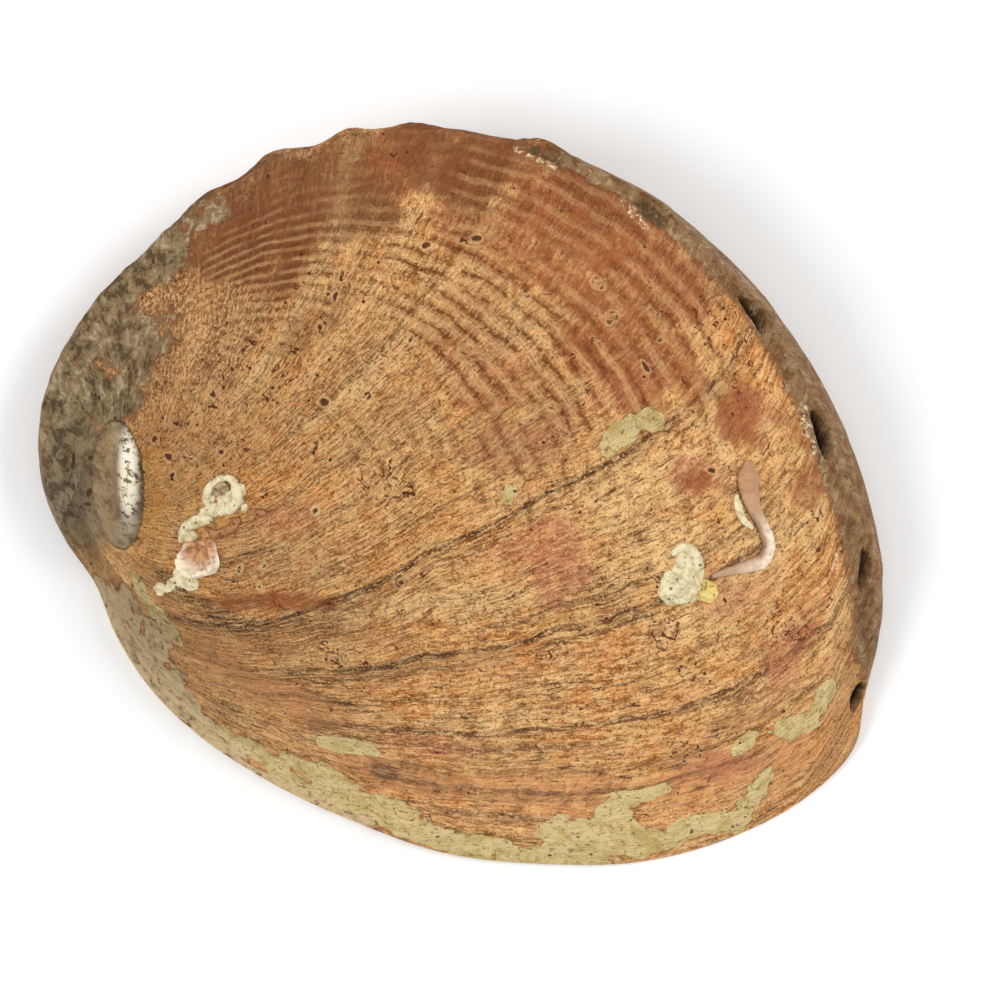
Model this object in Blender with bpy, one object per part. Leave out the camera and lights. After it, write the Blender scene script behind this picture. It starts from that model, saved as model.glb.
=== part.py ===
# Abalone shell lying mouth down: one domed shell with a row of holes,
# and the chalky tubes and crusts that other animals left on its back.
# Units are millimetres in the formulas and metres in the meshes.
# X runs from the spire to the front, Y towards the row of holes, Z up.

import math

import bmesh
import bpy
import numpy as np
from mathutils import Vector
from mathutils.bvhtree import BVHTree

MM = 0.001

# Driving dimensions
HEIGHT = 50.0
SUMMIT = (-12.0, 3.0)
POLE = (-74.3, -22.9)
DOME_POWER = 2.15
WALL = 3.4
LIP_WALL = 2.3
LANDING = 1.4
LIP_CLEAR = 0.2
LEDGE_WIDTH = 8.5
HOOK_WIDTH = 9.0
HOOK_ANGLE = math.radians(-147.0)
HOOK_SPREAD = math.radians(22.0)
LEDGE_DROP = 2.2
RIM_HEIGHT = 1.5
GAP = 0.3
FOLDS_A_TURN = 49.0

# How far the wall between crest and margin bulges
WALL_BULGE = 1.4

# Cutters that open the holes, along the shell's own direction tilted outward
HOLE_SIDES = 16
HOLE_DEPTH = 9.0
HOLE_PROUD = 6.0
HOLE_TILT = math.radians(14.0)

# Colours, as the photograph shows them
SHELL_COLOUR = (0.36, 0.14, 0.045)
TUBE_COLOUR = (0.50, 0.39, 0.35)
CRUST_COLOUR = (0.60, 0.52, 0.34)

# Mesh density
DOME_RINGS = 26
HOLLOW_RINGS = DOME_RINGS // 2
OUTER_WALL_RINGS = 4

# The crest: the lip along the open side, then the row of holes, then the
# back of the spire. Each row is x, y, height, and how far the margin below
# it stands out.
CREST = (
    (88.3, -9.5, 5.5, 0.6),
    (80.2, 14.1, 14.0, 2.4),
    (62.6, 35.6, 20.0, 4.8),
    (41.2, 53.0, 24.0, 4.2),
    (15.0, 65.4, 25.5, 2.0),
    (-11.5, 68.6, 25.5, 0.2),
    (-35.5, 63.6, 24.5, -0.8),
    (-54.5, 53.4, 23.0, -1.0),
    (-68.5, 39.0, 21.5, -1.0),
    (-78.6, 22.0, 20.0, -0.8),
    (-86.2, 4.0, 18.5, -0.4),
    (-87.8, -13.0, 16.0, -0.2),
    (-82.4, -28.5, 12.0, 0.0),
    (-74.8, -38.4, 6.5, 0.2),
    (-66.2, -45.2, 2.2, 0.3),
    (-59.0, -53.0, RIM_HEIGHT, 0.3),
    (-48.2, -61.0, RIM_HEIGHT, 0.3),
    (-36.1, -66.2, RIM_HEIGHT, 0.3),
    (-20.0, -69.8, RIM_HEIGHT, 0.3),
    (0.0, -71.4, RIM_HEIGHT, 0.3),
    (20.0, -70.8, RIM_HEIGHT, 0.3),
    (40.0, -65.6, RIM_HEIGHT, 0.3),
    (58.0, -58.2, RIM_HEIGHT, 0.3),
    (74.0, -46.6, RIM_HEIGHT, 0.3),
    (85.6, -33.0, RIM_HEIGHT, 0.3),
    (90.8, -20.5, RIM_HEIGHT + 0.5, 0.2),
)

# Holes and closed knobs along the row: angle about the pole in degrees,
# share of the way from the pole to the crest, length, width, knob height.
# A width of nought is a knob that has closed.
ROW = (
    (4.4, 0.990, 7.5, 4.2, 0.6),
    (13.7, 0.983, 8.5, 3.6, 1.2),
    (23.6, 0.983, 11.5, 5.0, 1.6),
    (33.9, 0.982, 9.5, 4.4, 1.8),
    (45.2, 0.984, 0.0, 0.0, 2.2),
    (55.4, 0.985, 0.0, 0.0, 2.2),
    (66.4, 0.990, 0.0, 0.0, 2.4),
    (72.4, 0.990, 0.0, 0.0, 2.0),
    (79.2, 0.990, 0.0, 0.0, 2.2),
    (87.6, 0.990, 0.0, 0.0, 1.8),
)

# Growth ledges: the row angle that each line reaches, its step and width.
LEDGES = ((34.1, 1.1, 5.5), (24.0, 0.8, 5.0), (14.0, 0.9, 5.0))

# How far a growth line lags behind its row angle, in degrees, at shares of
# the way out from the pole: for an old line, a middle one and the lip.
LAG_SHARES = (0.0, 0.15, 0.25, 0.40, 0.52, 0.66, 0.80, 0.90, 0.97, 1.0, 1.12)
LAG_OLD = (95.0, 66.0, 46.0, 28.0, 20.0, 13.0, 7.5, 3.5, 1.0, 0.0, 2.0)
LAG_MIDDLE = (120.0, 92.0, 73.0, 42.0, 26.0, 16.6, 11.0, 6.4, 2.4, 0.0, 2.0)
LAG_LIP = (100.0, 71.0, 62.0, 48.5, 39.5, 30.0, 21.7, 15.2, 9.0, 0.0, 1.0)
LAG_ANGLES = (58.5, 34.1, 4.7)

# The long worm tube: plan points from its round head to its thin tail, and
# the radius at each.
TUBE_PATH = (
    (46.0, 24.4, 2.0),
    (48.6, 21.6, 2.3),
    (50.6, 18.0, 1.8),
    (53.2, 15.6, 1.6),
    (56.2, 13.2, 1.9),
    (57.6, 9.6, 2.0),
    (56.4, 6.0, 1.7),
    (54.4, 3.6, 1.3),
    (52.0, 1.8, 0.9),
    (50.2, 0.6, 0.5),
)
TUBE_SIDES = 8

# Chalky growths: centre, outline distances at even turns, rings of the
# mesh, thickness, and the cups in it as plan place, radius and depth.
GROWTHS = {
    "tube_knot": {
        "centre": (44.0, -1.6),
        "outline": (3.9, 3.9, 4.4, 5.0, 5.4, 5.2, 4.6, 4.2, 4.4, 4.8, 4.8, 4.4),
        "rings": 6,
        "thickness": 2.2,
        "cups": ((45.2, 2.2, 1.5, 1.6), (42.6, -1.6, 1.2, 1.3), (46.6, -3.2, 1.1, 1.2)),
    },
    "tube_cluster": {
        "centre": (-46.0, -24.6),
        "outline": (5.0, 5.6, 7.6, 9.4, 7.2, 4.8, 5.4, 8.2, 12.4, 11.0, 7.6, 5.6),
        "rings": 9,
        "thickness": 1.9,
        "cups": ((-46.4, -17.4, 2.6, 1.4), (-47.4, -30.6, 3.0, 1.6), (-42.6, -20.2, 1.2, 1.0)),
    },
}


def smooth(low, high, value):
    share = np.clip((value - low) / (high - low), 0.0, 1.0)
    return share * share * (3.0 - 2.0 * share)


def around(angles, values, at):
    """Smooth closed curve through the values at the sorted angles."""
    turn = 2.0 * math.pi
    xs = np.concatenate([angles[-2:] - turn, angles, angles[:3] + turn])
    ys = np.concatenate([values[-2:], values, values[:3]])
    at = np.mod(np.asarray(at) - angles[0], turn) + angles[0]
    k = np.clip(np.searchsorted(xs, at, side="right") - 1, 1, len(xs) - 3)
    step = xs[k + 1] - xs[k]
    t = (at - xs[k]) / step
    here = (ys[k + 1] - ys[k - 1]) / (xs[k + 1] - xs[k - 1]) * step
    there = (ys[k + 2] - ys[k]) / (xs[k + 2] - xs[k]) * step
    rise = ys[k + 1] - ys[k]
    cubic = t * t * (3.0 - 2.0 * t) * rise
    return ys[k] + cubic + t * (1 - t) ** 2 * here - t * t * (1 - t) * there


def polar(points, centre):
    """Sorted angles and distances of plan points about a centre."""
    away = points[:, :2] - np.array(centre)
    angles = np.arctan2(away[:, 1], away[:, 0])
    order = np.argsort(angles)
    return angles[order], np.hypot(away[:, 0], away[:, 1])[order], order


CREST_POINTS = np.array(CREST)
CREST_ANGLES, CREST_REACH, CREST_ORDER = polar(CREST_POINTS, SUMMIT)


def crest_reach(angle):
    return around(CREST_ANGLES, CREST_REACH, angle)


def crest_height(angle):
    return around(CREST_ANGLES, CREST_POINTS[CREST_ORDER, 2], angle)


def margin_reach(angle):
    out = around(CREST_ANGLES, CREST_POINTS[CREST_ORDER, 3], angle)
    return crest_reach(angle) + out


def hole_side(angle):
    """One along the row of holes and the spire, nought along the lip."""
    return smooth(3.0, 12.0, crest_height(angle))


def plan(reach, angle):
    x = SUMMIT[0] + reach * np.cos(angle)
    y = SUMMIT[1] + reach * np.sin(angle)
    return x, y


def dome(share, angle):
    """Smooth dome without relief: share runs from the summit to the crest."""
    foot = crest_height(angle)
    x, y = plan(crest_reach(angle) * share, angle)
    z = foot + (HEIGHT - foot) * (1.0 - share**DOME_POWER)
    return np.stack([x, y, z], -1)


def dome_normal(share, angle):
    share = np.maximum(share, 1e-3)
    along = dome(share + 1e-3, angle) - dome(share - 1e-3, angle)
    round_ = dome(share, angle + 1e-3) - dome(share, angle - 1e-3)
    normal = np.cross(along, round_)
    return normal / np.linalg.norm(normal, axis=-1, keepdims=True)


def pole_reach_table():
    """Distance from the pole to the crest at each whole degree."""
    angle = np.linspace(-math.pi, math.pi, 1441)
    x, y = plan(crest_reach(angle), angle)
    about = np.arctan2(y - POLE[1], x - POLE[0])
    order = np.argsort(about)
    reach = np.hypot(x - POLE[0], y - POLE[1])
    return np.degrees(about[order]), reach[order]


POLE_ANGLES, POLE_REACH = pole_reach_table()


def pole_reach(degrees):
    around_once = np.mod(degrees + 180.0, 360.0) - 180.0
    return np.interp(around_once, POLE_ANGLES, POLE_REACH, period=360.0)


def lag(share, row_angle):
    """Degrees by which a growth line trails its row angle."""
    old = np.interp(share, LAG_SHARES, LAG_OLD)
    middle = np.interp(share, LAG_SHARES, LAG_MIDDLE)
    lip = np.interp(share, LAG_SHARES, LAG_LIP)
    first, second, third = LAG_ANGLES
    to_old = np.clip((row_angle - second) / (first - second), 0.0, 1.0)
    to_lip = np.clip((second - row_angle) / (second - third), 0.0, 1.0)
    return middle + (old - middle) * to_old + (lip - middle) * to_lip


def growth(x, y):
    """Row angle of the growth line through a plan point, and the share."""
    reach = np.hypot(x - POLE[0], y - POLE[1])
    about = np.degrees(np.arctan2(y - POLE[1], x - POLE[0]))
    about = np.where(about < -100.0, about + 360.0, about)
    low = np.full_like(about, -20.0)
    high = np.full_like(about, 400.0)
    for _ in range(32):
        middle = (low + high) / 2.0
        share = reach / pole_reach(np.minimum(middle, 250.0))
        behind = middle - lag(share, middle) < about
        low = np.where(behind, middle, low)
        high = np.where(behind, high, middle)
    row_angle = (low + high) / 2.0
    return row_angle, reach / pole_reach(np.minimum(row_angle, 250.0))


def row_point(row_angle, share):
    reach = pole_reach(row_angle) * share
    turn = math.radians(row_angle)
    return POLE[0] + reach * math.cos(turn), POLE[1] + reach * math.sin(turn)


def relief(x, y):
    """Height of the knobs, folds, ledges and spire above the smooth dome."""
    row_angle, share = growth(x, y)
    lift = np.zeros_like(x)
    for angle, reach, _, _, height in ROW:
        at_x, at_y = row_point(angle, reach)
        size = 5.4 - 0.018 * max(angle - 45.0, 0.0)
        away = np.hypot(x - at_x, y - at_y) / size
        lift = lift + height * np.exp(-(away**2) * 1.2)
    for angle, step, width in LEDGES:
        past = np.radians(row_angle - angle) * share * pole_reach(angle)
        back = smooth(-width, 0.0, past) * np.exp(-np.maximum(past, 0.0) / 12.0)
        lift = lift + step * back * smooth(0.10, 0.3, share) * smooth(1.05, 0.9, share)
    folds = 0.35 * np.cos(np.radians(row_angle - 33.6) * FOLDS_A_TURN)
    old = smooth(40.0, 52.0, row_angle) * smooth(120.0, 95.0, row_angle)
    lift = lift + folds * old * smooth(0.2, 0.5, share)
    lift = lift + 0.8 * np.exp(-(((share - 0.97) / 0.05) ** 2)) * old
    # The worn spire stands a little proud, with a groove where it ends.
    spire_x, spire_y = x + 69.4, y + 23.9
    along = spire_x * 0.358 - spire_y * 0.934
    across = spire_x * 0.934 + spire_y * 0.358
    inside = np.hypot(along / 14.5, across / 7.4)
    lift = lift + 1.6 * smooth(1.15, 0.55, inside)
    lift = lift - 0.5 * np.exp(-(((inside - 1.12) / 0.14) ** 2))
    return lift


def hex_disc(rings):
    """Even triangles over a disc: ring k has 6k points."""
    shares = [0.0]
    angles = [0.0]
    faces = []
    start = 0
    for ring in range(1, rings + 1):
        before, first = start, len(shares)
        count = 6 * ring
        shares.extend([ring / rings] * count)
        angles.extend([2.0 * math.pi * i / count for i in range(count)])
        inner = max(6 * (ring - 1), 1)
        for side in range(6):
            for j in range(ring):
                a = first + side * ring + j
                b = first + (side * ring + j + 1) % count
                c = before + (side * (ring - 1) + j) % inner
                faces.append((c, a, b))
                if j < ring - 1:
                    d = before + (side * (ring - 1) + j + 1) % inner
                    faces.append((c, b, d))
        start = first
    return np.array(shares), np.array(angles), faces, start


def outer_wall(angle, step):
    """Ring of the wall below the crest: step runs from crest to margin."""
    crest = dome(np.ones_like(angle), angle)
    top, reach, foot = crest[:, 2], crest_reach(angle), margin_reach(angle)
    bulge = WALL_BULGE * hole_side(angle) * np.sin(math.pi * step)
    x, y = plan(reach + (foot - reach) * step**0.8 + bulge, angle)
    return np.stack([x, y, top * (1.0 - step)], -1)


def inner_dome(share, angle):
    """Underside of the dome, one wall thickness inside it."""
    thick = LIP_WALL + (WALL - LIP_WALL) * hole_side(angle) * share
    thick = thick + 1.6 * (1.0 - share) ** 2
    under = dome(share, angle) - dome_normal(share, angle) * thick[:, None]
    under[:, 2] = np.maximum(under[:, 2], LIP_CLEAR)
    return under


def inner_wall(angle, step):
    """Ring from the underside of the dome, over the ledge, to the landing."""
    start = inner_dome(np.ones_like(angle), angle)
    start_reach = np.hypot(start[:, 0] - SUMMIT[0], start[:, 1] - SUMMIT[1])
    margin = margin_reach(angle)
    side = hole_side(angle)
    edge = margin - LANDING * (1.0 + side)
    straight_reach = start_reach + (edge - start_reach) * step
    straight_height = start[:, 2] * (1.0 - step)
    steps = (0.0, 0.3, 0.55, 0.72, 0.82, 1.0)
    round_spire = np.mod(angle - HOOK_ANGLE + math.pi, 2.0 * math.pi) - math.pi
    hook = np.exp(-((round_spire / HOOK_SPREAD) ** 2))
    tip = margin - LEDGE_WIDTH - HOOK_WIDTH * hook
    reaches = (start_reach, margin - 4.6, margin - 6.4, tip, tip + 0.4, edge)
    top = start[:, 2]
    heights = (top, top * 0.6, top * 0.34, top * 0.12 + 2.6, LEDGE_DROP, 0 * top)
    k = min(int(np.searchsorted(steps, step, side="right")) - 1, len(steps) - 2)
    t = (step - steps[k]) / (steps[k + 1] - steps[k])
    ledge_reach = reaches[k] + (reaches[k + 1] - reaches[k]) * t
    ledge_height = heights[k] + (heights[k + 1] - heights[k]) * t
    reach = straight_reach + (ledge_reach - straight_reach) * side
    height = straight_height + (ledge_height - straight_height) * side
    x, y = plan(reach, angle)
    return np.stack([x, y, np.maximum(height, 0.0)], -1)


def shell_mesh():
    """Closed shell: dome, outer wall, landing, ledge and hollow."""
    shares, angles, faces, last = hex_disc(DOME_RINGS)
    base = dome(shares, angles)
    lift = relief(base[:, 0], base[:, 1])
    lip_edge = smooth(0.94, 1.0, shares) * (1.0 - hole_side(angles))
    lift = lift * (1.0 - lip_edge)
    points = [base + dome_normal(shares, angles) * lift[:, None]]
    count = 6 * DOME_RINGS
    turn = angles[last:]
    crest = points[0][last:]
    total = len(shares)
    ring_start = last
    faces = list(faces)
    out = crest - base[last:]
    for k in range(1, OUTER_WALL_RINGS + 1):
        step = k / OUTER_WALL_RINGS
        fade = (1.0 - step) ** 2
        points.append(outer_wall(turn, step) + out * fade)
        for i in range(count):
            j = (i + 1) % count
            faces.append((ring_start + i, total + i, total + j, ring_start + j))
        ring_start = total
        total += count
    in_shares, in_angles, in_faces, in_last = hex_disc(HOLLOW_RINGS)
    in_count = 6 * HOLLOW_RINGS
    in_turn = in_angles[in_last:]
    # The flat landing joins the margin to a ring with half as many points.
    points.append(inner_wall(in_turn, 1.0))
    for i in range(in_count):
        a, b, c = 2 * i, 2 * i + 1, (2 * i + 2) % count
        j = (i + 1) % in_count
        faces.append((ring_start + a, total + i, ring_start + b))
        faces.append((ring_start + b, total + i, total + j))
        faces.append((ring_start + b, total + j, ring_start + c))
    ring_start = total
    total += in_count
    steps = (0.82, 0.72, 0.55, 0.3)
    for step in steps:
        points.append(inner_wall(in_turn, step))
        for i in range(in_count):
            j = (i + 1) % in_count
            faces.append((ring_start + i, total + i, total + j, ring_start + j))
        ring_start = total
        total += in_count
    points.append(inner_dome(in_shares, in_angles))
    for i in range(in_count):
        j = (i + 1) % in_count
        a, b = total + in_last + i, total + in_last + j
        faces.append((ring_start + i, a, b, ring_start + j))
    faces.extend(tuple(total + v for v in reversed(face)) for face in in_faces)
    return np.concatenate(points), faces


def add_object(name, points, faces, colour, roughness):
    mesh = bpy.data.meshes.new(name)
    mesh.from_pydata([tuple(p) for p in points * MM], [], faces)
    mesh.validate()
    shaped = bmesh.new()
    shaped.from_mesh(mesh)
    bmesh.ops.triangulate(shaped, faces=shaped.faces)
    bmesh.ops.recalc_face_normals(shaped, faces=shaped.faces)
    shaped.to_mesh(mesh)
    shaped.free()
    mesh.shade_smooth()
    made = bpy.data.objects.new(name, mesh)
    bpy.context.collection.objects.link(made)
    material = bpy.data.materials.new(name)
    material.use_nodes = True
    shader = material.node_tree.nodes["Principled BSDF"]
    shader.inputs["Base Color"].default_value = (*colour, 1.0)
    shader.inputs["Roughness"].default_value = roughness
    mesh.materials.append(material)
    return made


def hole_frame(row_angle, share):
    """Centre of a hole on the smooth dome, its axis, and two directions."""
    x, y = row_point(row_angle, share)
    angle = np.array([math.atan2(y - SUMMIT[1], x - SUMMIT[0])])
    out = np.hypot(x - SUMMIT[0], y - SUMMIT[1]) / crest_reach(angle)
    place = Vector(dome(out, angle)[0])
    axis = Vector(dome_normal(out, angle)[0])
    outward = Vector((math.cos(angle[0]), math.sin(angle[0]), 0.0))
    axis = (axis + outward * math.tan(HOLE_TILT)).normalized()
    before = Vector((*row_point(row_angle - 1.0, share), 0.0))
    after = Vector((*row_point(row_angle + 1.0, share), 0.0))
    along = after - before
    along = (along - axis * along.dot(axis)).normalized()
    return place, axis, along, axis.cross(along)


def hole_cutter():
    """One hidden object with an oval prism through each open hole."""
    shaped = bmesh.new()
    for row_angle, share, length, width, _ in ROW:
        if width == 0.0:
            continue
        place, axis, along, across = hole_frame(row_angle, share)
        rings = []
        for depth in (-HOLE_DEPTH, HOLE_PROUD):
            ring = []
            for side in range(HOLE_SIDES):
                turn = 2.0 * math.pi * (side + 0.5) / HOLE_SIDES
                offset = along * math.cos(turn) * length / 2.0
                offset = offset + across * math.sin(turn) * width / 2.0
                ring.append(shaped.verts.new((place + axis * depth + offset) * MM))
            rings.append(ring)
        low, high = rings
        shaped.faces.new(reversed(low))
        shaped.faces.new(high)
        for side in range(HOLE_SIDES):
            after = (side + 1) % HOLE_SIDES
            shaped.faces.new((low[side], low[after], high[after], high[side]))
    bmesh.ops.recalc_face_normals(shaped, faces=shaped.faces)
    mesh = bpy.data.meshes.new("hole_cuts")
    shaped.to_mesh(mesh)
    shaped.free()
    cutter = bpy.data.objects.new("hole_cuts", mesh)
    bpy.context.collection.objects.link(cutter)
    cutter.hide_render = True
    cutter.display_type = "WIRE"
    return cutter


def on_back(x, y):
    """Point of the shell's back above a plan point, and its direction."""
    start = Vector((x * MM, y * MM, 2.0 * HEIGHT * MM))
    hit, normal, _, _ = back.ray_cast(start, Vector((0.0, 0.0, -1.0)))
    return hit / MM, normal


def tube_mesh():
    """Round tube that follows the shell's back, closed at both ends."""
    centres = []
    for x, y, radius in TUBE_PATH:
        hit, normal = on_back(x, y)
        centres.append((hit + normal * (radius + GAP), normal, radius))
    points, faces = [], []
    for k, (centre, normal, radius) in enumerate(centres):
        ahead = centres[min(k + 1, len(centres) - 1)][0]
        behind = centres[max(k - 1, 0)][0]
        run = (ahead - behind).normalized()
        side = run.cross(normal).normalized()
        up = side.cross(run)
        for i in range(TUBE_SIDES):
            turn = 2.0 * math.pi * i / TUBE_SIDES
            offset = side * math.cos(turn) + up * math.sin(turn)
            points.append(tuple(centre + offset * radius))
    for k in range(len(centres) - 1):
        a, b = k * TUBE_SIDES, (k + 1) * TUBE_SIDES
        for i in range(TUBE_SIDES):
            j = (i + 1) % TUBE_SIDES
            faces.append((a + i, a + j, b + j, b + i))
    tail = len(points) - TUBE_SIDES
    faces.append(tuple(reversed(range(TUBE_SIDES))))
    faces.append(tuple(range(tail, len(points))))
    return np.array(points), faces


def growth_mesh(growth_shape):
    shares, angles, faces, last = hex_disc(growth_shape["rings"])
    outline = np.array(growth_shape["outline"])
    turns = np.arange(len(outline)) * 2.0 * math.pi / len(outline)
    reach = around(turns, outline, angles)
    x = growth_shape["centre"][0] + reach * shares * np.cos(angles)
    y = growth_shape["centre"][1] + reach * shares * np.sin(angles)
    height = growth_shape["thickness"] * (1.0 - 0.75 * shares**3)
    for cup_x, cup_y, radius, depth in growth_shape["cups"]:
        away = np.hypot(x - cup_x, y - cup_y) / radius
        height = height + 0.5 * np.exp(-(((away - 1.25) / 0.5) ** 2))
        height = height - depth * np.exp(-(away**2))
    height = np.maximum(height, 0.4)
    top, low = [], []
    for at_x, at_y, at_height in zip(x, y, height):
        hit, normal = on_back(at_x, at_y)
        foot = GAP / normal.z + 0.1
        top.append((at_x, at_y, hit.z + foot + at_height))
        low.append((at_x, at_y, hit.z + foot))
    count = len(shares)
    walls = []
    ring = 6 * growth_shape["rings"]
    for i in range(ring):
        a, b = last + i, last + (i + 1) % ring
        walls.append((a, b, count + b, count + a))
    under = [tuple(count + v for v in reversed(face)) for face in faces]
    return np.array(top + low), list(faces) + under + walls


for old in list(bpy.data.objects):
    bpy.data.objects.remove(old, do_unlink=True)

shell = add_object("shell", *shell_mesh(), SHELL_COLOUR, 0.6)
cutting = shell.modifiers.new("holes", "BOOLEAN")
cutting.operation = "DIFFERENCE"
cutting.solver = "EXACT"
cutting.object = hole_cutter()

# The growths stand on the shell as it is with its holes.
bpy.context.view_layer.update()
back = BVHTree.FromObject(shell, bpy.context.evaluated_depsgraph_get())
add_object("worm_tube", *tube_mesh(), TUBE_COLOUR, 0.5)
for growth_name, growth_shape in GROWTHS.items():
    add_object(growth_name, *growth_mesh(growth_shape), CRUST_COLOUR, 0.7)
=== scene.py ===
# Abalone shell seen from above, mouth down: the fine surfaces, materials,
# light and camera. The shapes repeat the solid's formulas, in millimetres,
# on a finer mesh, and add the low relief that the solid leaves out.

import math

import bmesh
import bpy
import numpy as np
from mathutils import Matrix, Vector, noise
from mathutils.bvhtree import BVHTree


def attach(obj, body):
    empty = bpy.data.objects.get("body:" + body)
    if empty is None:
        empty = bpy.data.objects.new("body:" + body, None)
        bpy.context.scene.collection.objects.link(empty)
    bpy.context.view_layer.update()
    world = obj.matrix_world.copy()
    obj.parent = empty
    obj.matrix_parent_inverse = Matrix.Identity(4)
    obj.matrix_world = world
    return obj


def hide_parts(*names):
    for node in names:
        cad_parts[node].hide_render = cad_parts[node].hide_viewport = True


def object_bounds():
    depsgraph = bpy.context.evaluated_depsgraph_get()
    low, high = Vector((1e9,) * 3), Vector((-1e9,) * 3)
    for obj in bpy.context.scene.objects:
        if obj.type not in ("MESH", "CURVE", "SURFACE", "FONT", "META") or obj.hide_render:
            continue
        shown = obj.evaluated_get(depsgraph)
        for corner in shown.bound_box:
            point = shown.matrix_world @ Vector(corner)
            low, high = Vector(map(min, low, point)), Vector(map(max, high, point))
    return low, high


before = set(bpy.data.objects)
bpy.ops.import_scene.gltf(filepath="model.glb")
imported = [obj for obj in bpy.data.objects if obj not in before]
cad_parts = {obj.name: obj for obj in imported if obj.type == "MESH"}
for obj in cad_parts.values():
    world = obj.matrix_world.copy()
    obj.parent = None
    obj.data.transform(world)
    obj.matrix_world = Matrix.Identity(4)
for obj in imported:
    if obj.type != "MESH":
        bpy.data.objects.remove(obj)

CAD_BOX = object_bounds()
MM = 0.001

# Driving dimensions, as in the solid
HEIGHT = 50.0
SUMMIT = (-12.0, 3.0)
POLE = (-74.3, -22.9)
DOME_POWER = 2.15
WALL = 3.4
LIP_WALL = 2.3
LANDING = 1.4
LIP_CLEAR = 0.2
LEDGE_WIDTH = 8.5
HOOK_WIDTH = 9.0
HOOK_ANGLE = math.radians(-147.0)
HOOK_SPREAD = math.radians(22.0)
LEDGE_DROP = 2.2
RIM_HEIGHT = 1.5
FOLDS_A_TURN = 49.0
WALL_BULGE = 1.4
HOLE_DEPTH = 9.0
HOLE_PROUD = 6.0
HOLE_TILT = math.radians(14.0)
CORDS = 38.0
KNOB_WIDTH = 5.4
FOLD_HEIGHT = 0.35
FOLD_START = 33.6
CREST_RIDGE = 0.8

# The worn spire: its middle, the direction of its long side, half sizes,
# how far it stands up, and the groove round it
SPIRE = (-69.4, -23.9)
SPIRE_AXIS = (0.358, -0.934)
SPIRE_SIZE = (14.5, 7.4)
SPIRE_LIFT = 1.6
SPIRE_GROOVE = 0.5

# The inner ledge: shares of the way down the wall, how far in from the
# margin it stands there, and its height as a share of the crest's
LEDGE_STEPS = (0.0, 0.3, 0.55, 0.72, 0.82, 1.0)
LEDGE_INSETS = (4.6, 6.4)
LEDGE_HEIGHTS = (0.6, 0.34, 0.12)
LEDGE_TIP = 0.4
LEDGE_TIP_RISE = 2.6

# The camera and the photograph's frame
CAMERA_HEIGHT = 700.0
VIEW_WIDTH = 205.7
SHELL_TURN = math.radians(21.0)
VIEW_CENTRE = (4.8, 0.8)
PICTURE_RIGHT = np.array((math.cos(SHELL_TURN), math.sin(SHELL_TURN)))

# Light: name, place in metres, width and power of each lamp
LAMPS = (
    ("key_light", (0.85, 1.0, 1.4), 0.7, 16.6),
    ("fill_light", (-1.1, -0.7, 1.3), 1.0, 16.0),
)
STUDIO_LIGHT = 0.8
FLOOR = 3.0

# Mesh density
DOME_RINGS = 138
HOLLOW_RINGS = DOME_RINGS // 2
OUTER_WALL_RINGS = 16
HOLE_SIDES = 40
TUBE_SIDES = 18
TUBE_STEPS = 8
TUBE_END = ((0.45, 0.90), (0.80, 0.62), (0.95, 0.30))
MOUND_RINGS = 12
CUP_RINGS = 18
INNER_WALL_STEPS = (
    0.96, 0.91, 0.87, 0.84, 0.82, 0.8, 0.77, 0.74, 0.72, 0.68, 0.62, 0.55, 0.45, 0.35, 0.25,
    0.12,
)

# Rings of the hole cutters: depth along the hole, and how wide it is there
HOLE_LEVELS = (
    (-HOLE_DEPTH, 0.86), (-2, 0.84), (-0.2, 0.9), (1.2, 1.02), (2.4, 1.25), (HOLE_PROUD, 1.9),
)

# The muscle's scar: plan place, half length, half width, turn in degrees
SCAR = (6.0, 2.0, 27.0, 19.0, 25.0)

# The crest: x, y, height, and how far the margin below it stands out.
CREST = (
    (88.3, -9.5, 5.5, 0.6), (80.2, 14.1, 14, 2.4), (62.6, 35.6, 20, 4.8), (41.2, 53, 24, 4.2),
    (15, 65.4, 25.5, 2), (-11.5, 68.6, 25.5, 0.2), (-35.5, 63.6, 24.5, -0.8),
    (-54.5, 53.4, 23, -1), (-68.5, 39, 21.5, -1), (-78.6, 22, 20, -0.8), (-86.2, 4, 18.5, -0.4),
    (-87.8, -13, 16, -0.2), (-82.4, -28.5, 12, 0), (-74.8, -38.4, 6.5, 0.2),
    (-66.2, -45.2, 2.2, 0.3), (-59, -53, RIM_HEIGHT, 0.3), (-48.2, -61, RIM_HEIGHT, 0.3),
    (-36.1, -66.2, RIM_HEIGHT, 0.3), (-20, -69.8, RIM_HEIGHT, 0.3), (0, -71.4, RIM_HEIGHT, 0.3),
    (20, -70.8, RIM_HEIGHT, 0.3), (40, -65.6, RIM_HEIGHT, 0.3), (58, -58.2, RIM_HEIGHT, 0.3),
    (74, -46.6, RIM_HEIGHT, 0.3), (85.6, -33, RIM_HEIGHT, 0.3),
    (90.8, -20.5, RIM_HEIGHT + 0.5, 0.2),
)

# Holes and closed knobs: angle about the pole in degrees, share of the way
# to the crest, length, width (nought where closed), and knob height.
ROW = (
    (4.4, 0.99, 7.5, 4.2, 0.6), (13.7, 0.983, 8.5, 3.6, 1.2), (23.6, 0.983, 11.5, 5, 1.6),
    (33.9, 0.982, 9.5, 4.4, 1.8), (45.2, 0.984, 0, 0, 2.2), (55.4, 0.985, 0, 0, 2.2),
    (66.4, 0.99, 0, 0, 2.4), (72.4, 0.99, 0, 0, 2), (79.2, 0.99, 0, 0, 2.2),
    (87.6, 0.99, 0, 0, 1.8),
)

# Growth ledges: the row angle that each line reaches, its step and width.
LEDGES = ((34.1, 1.1, 5.5), (24, 0.8, 5), (14, 0.9, 5))

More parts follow.
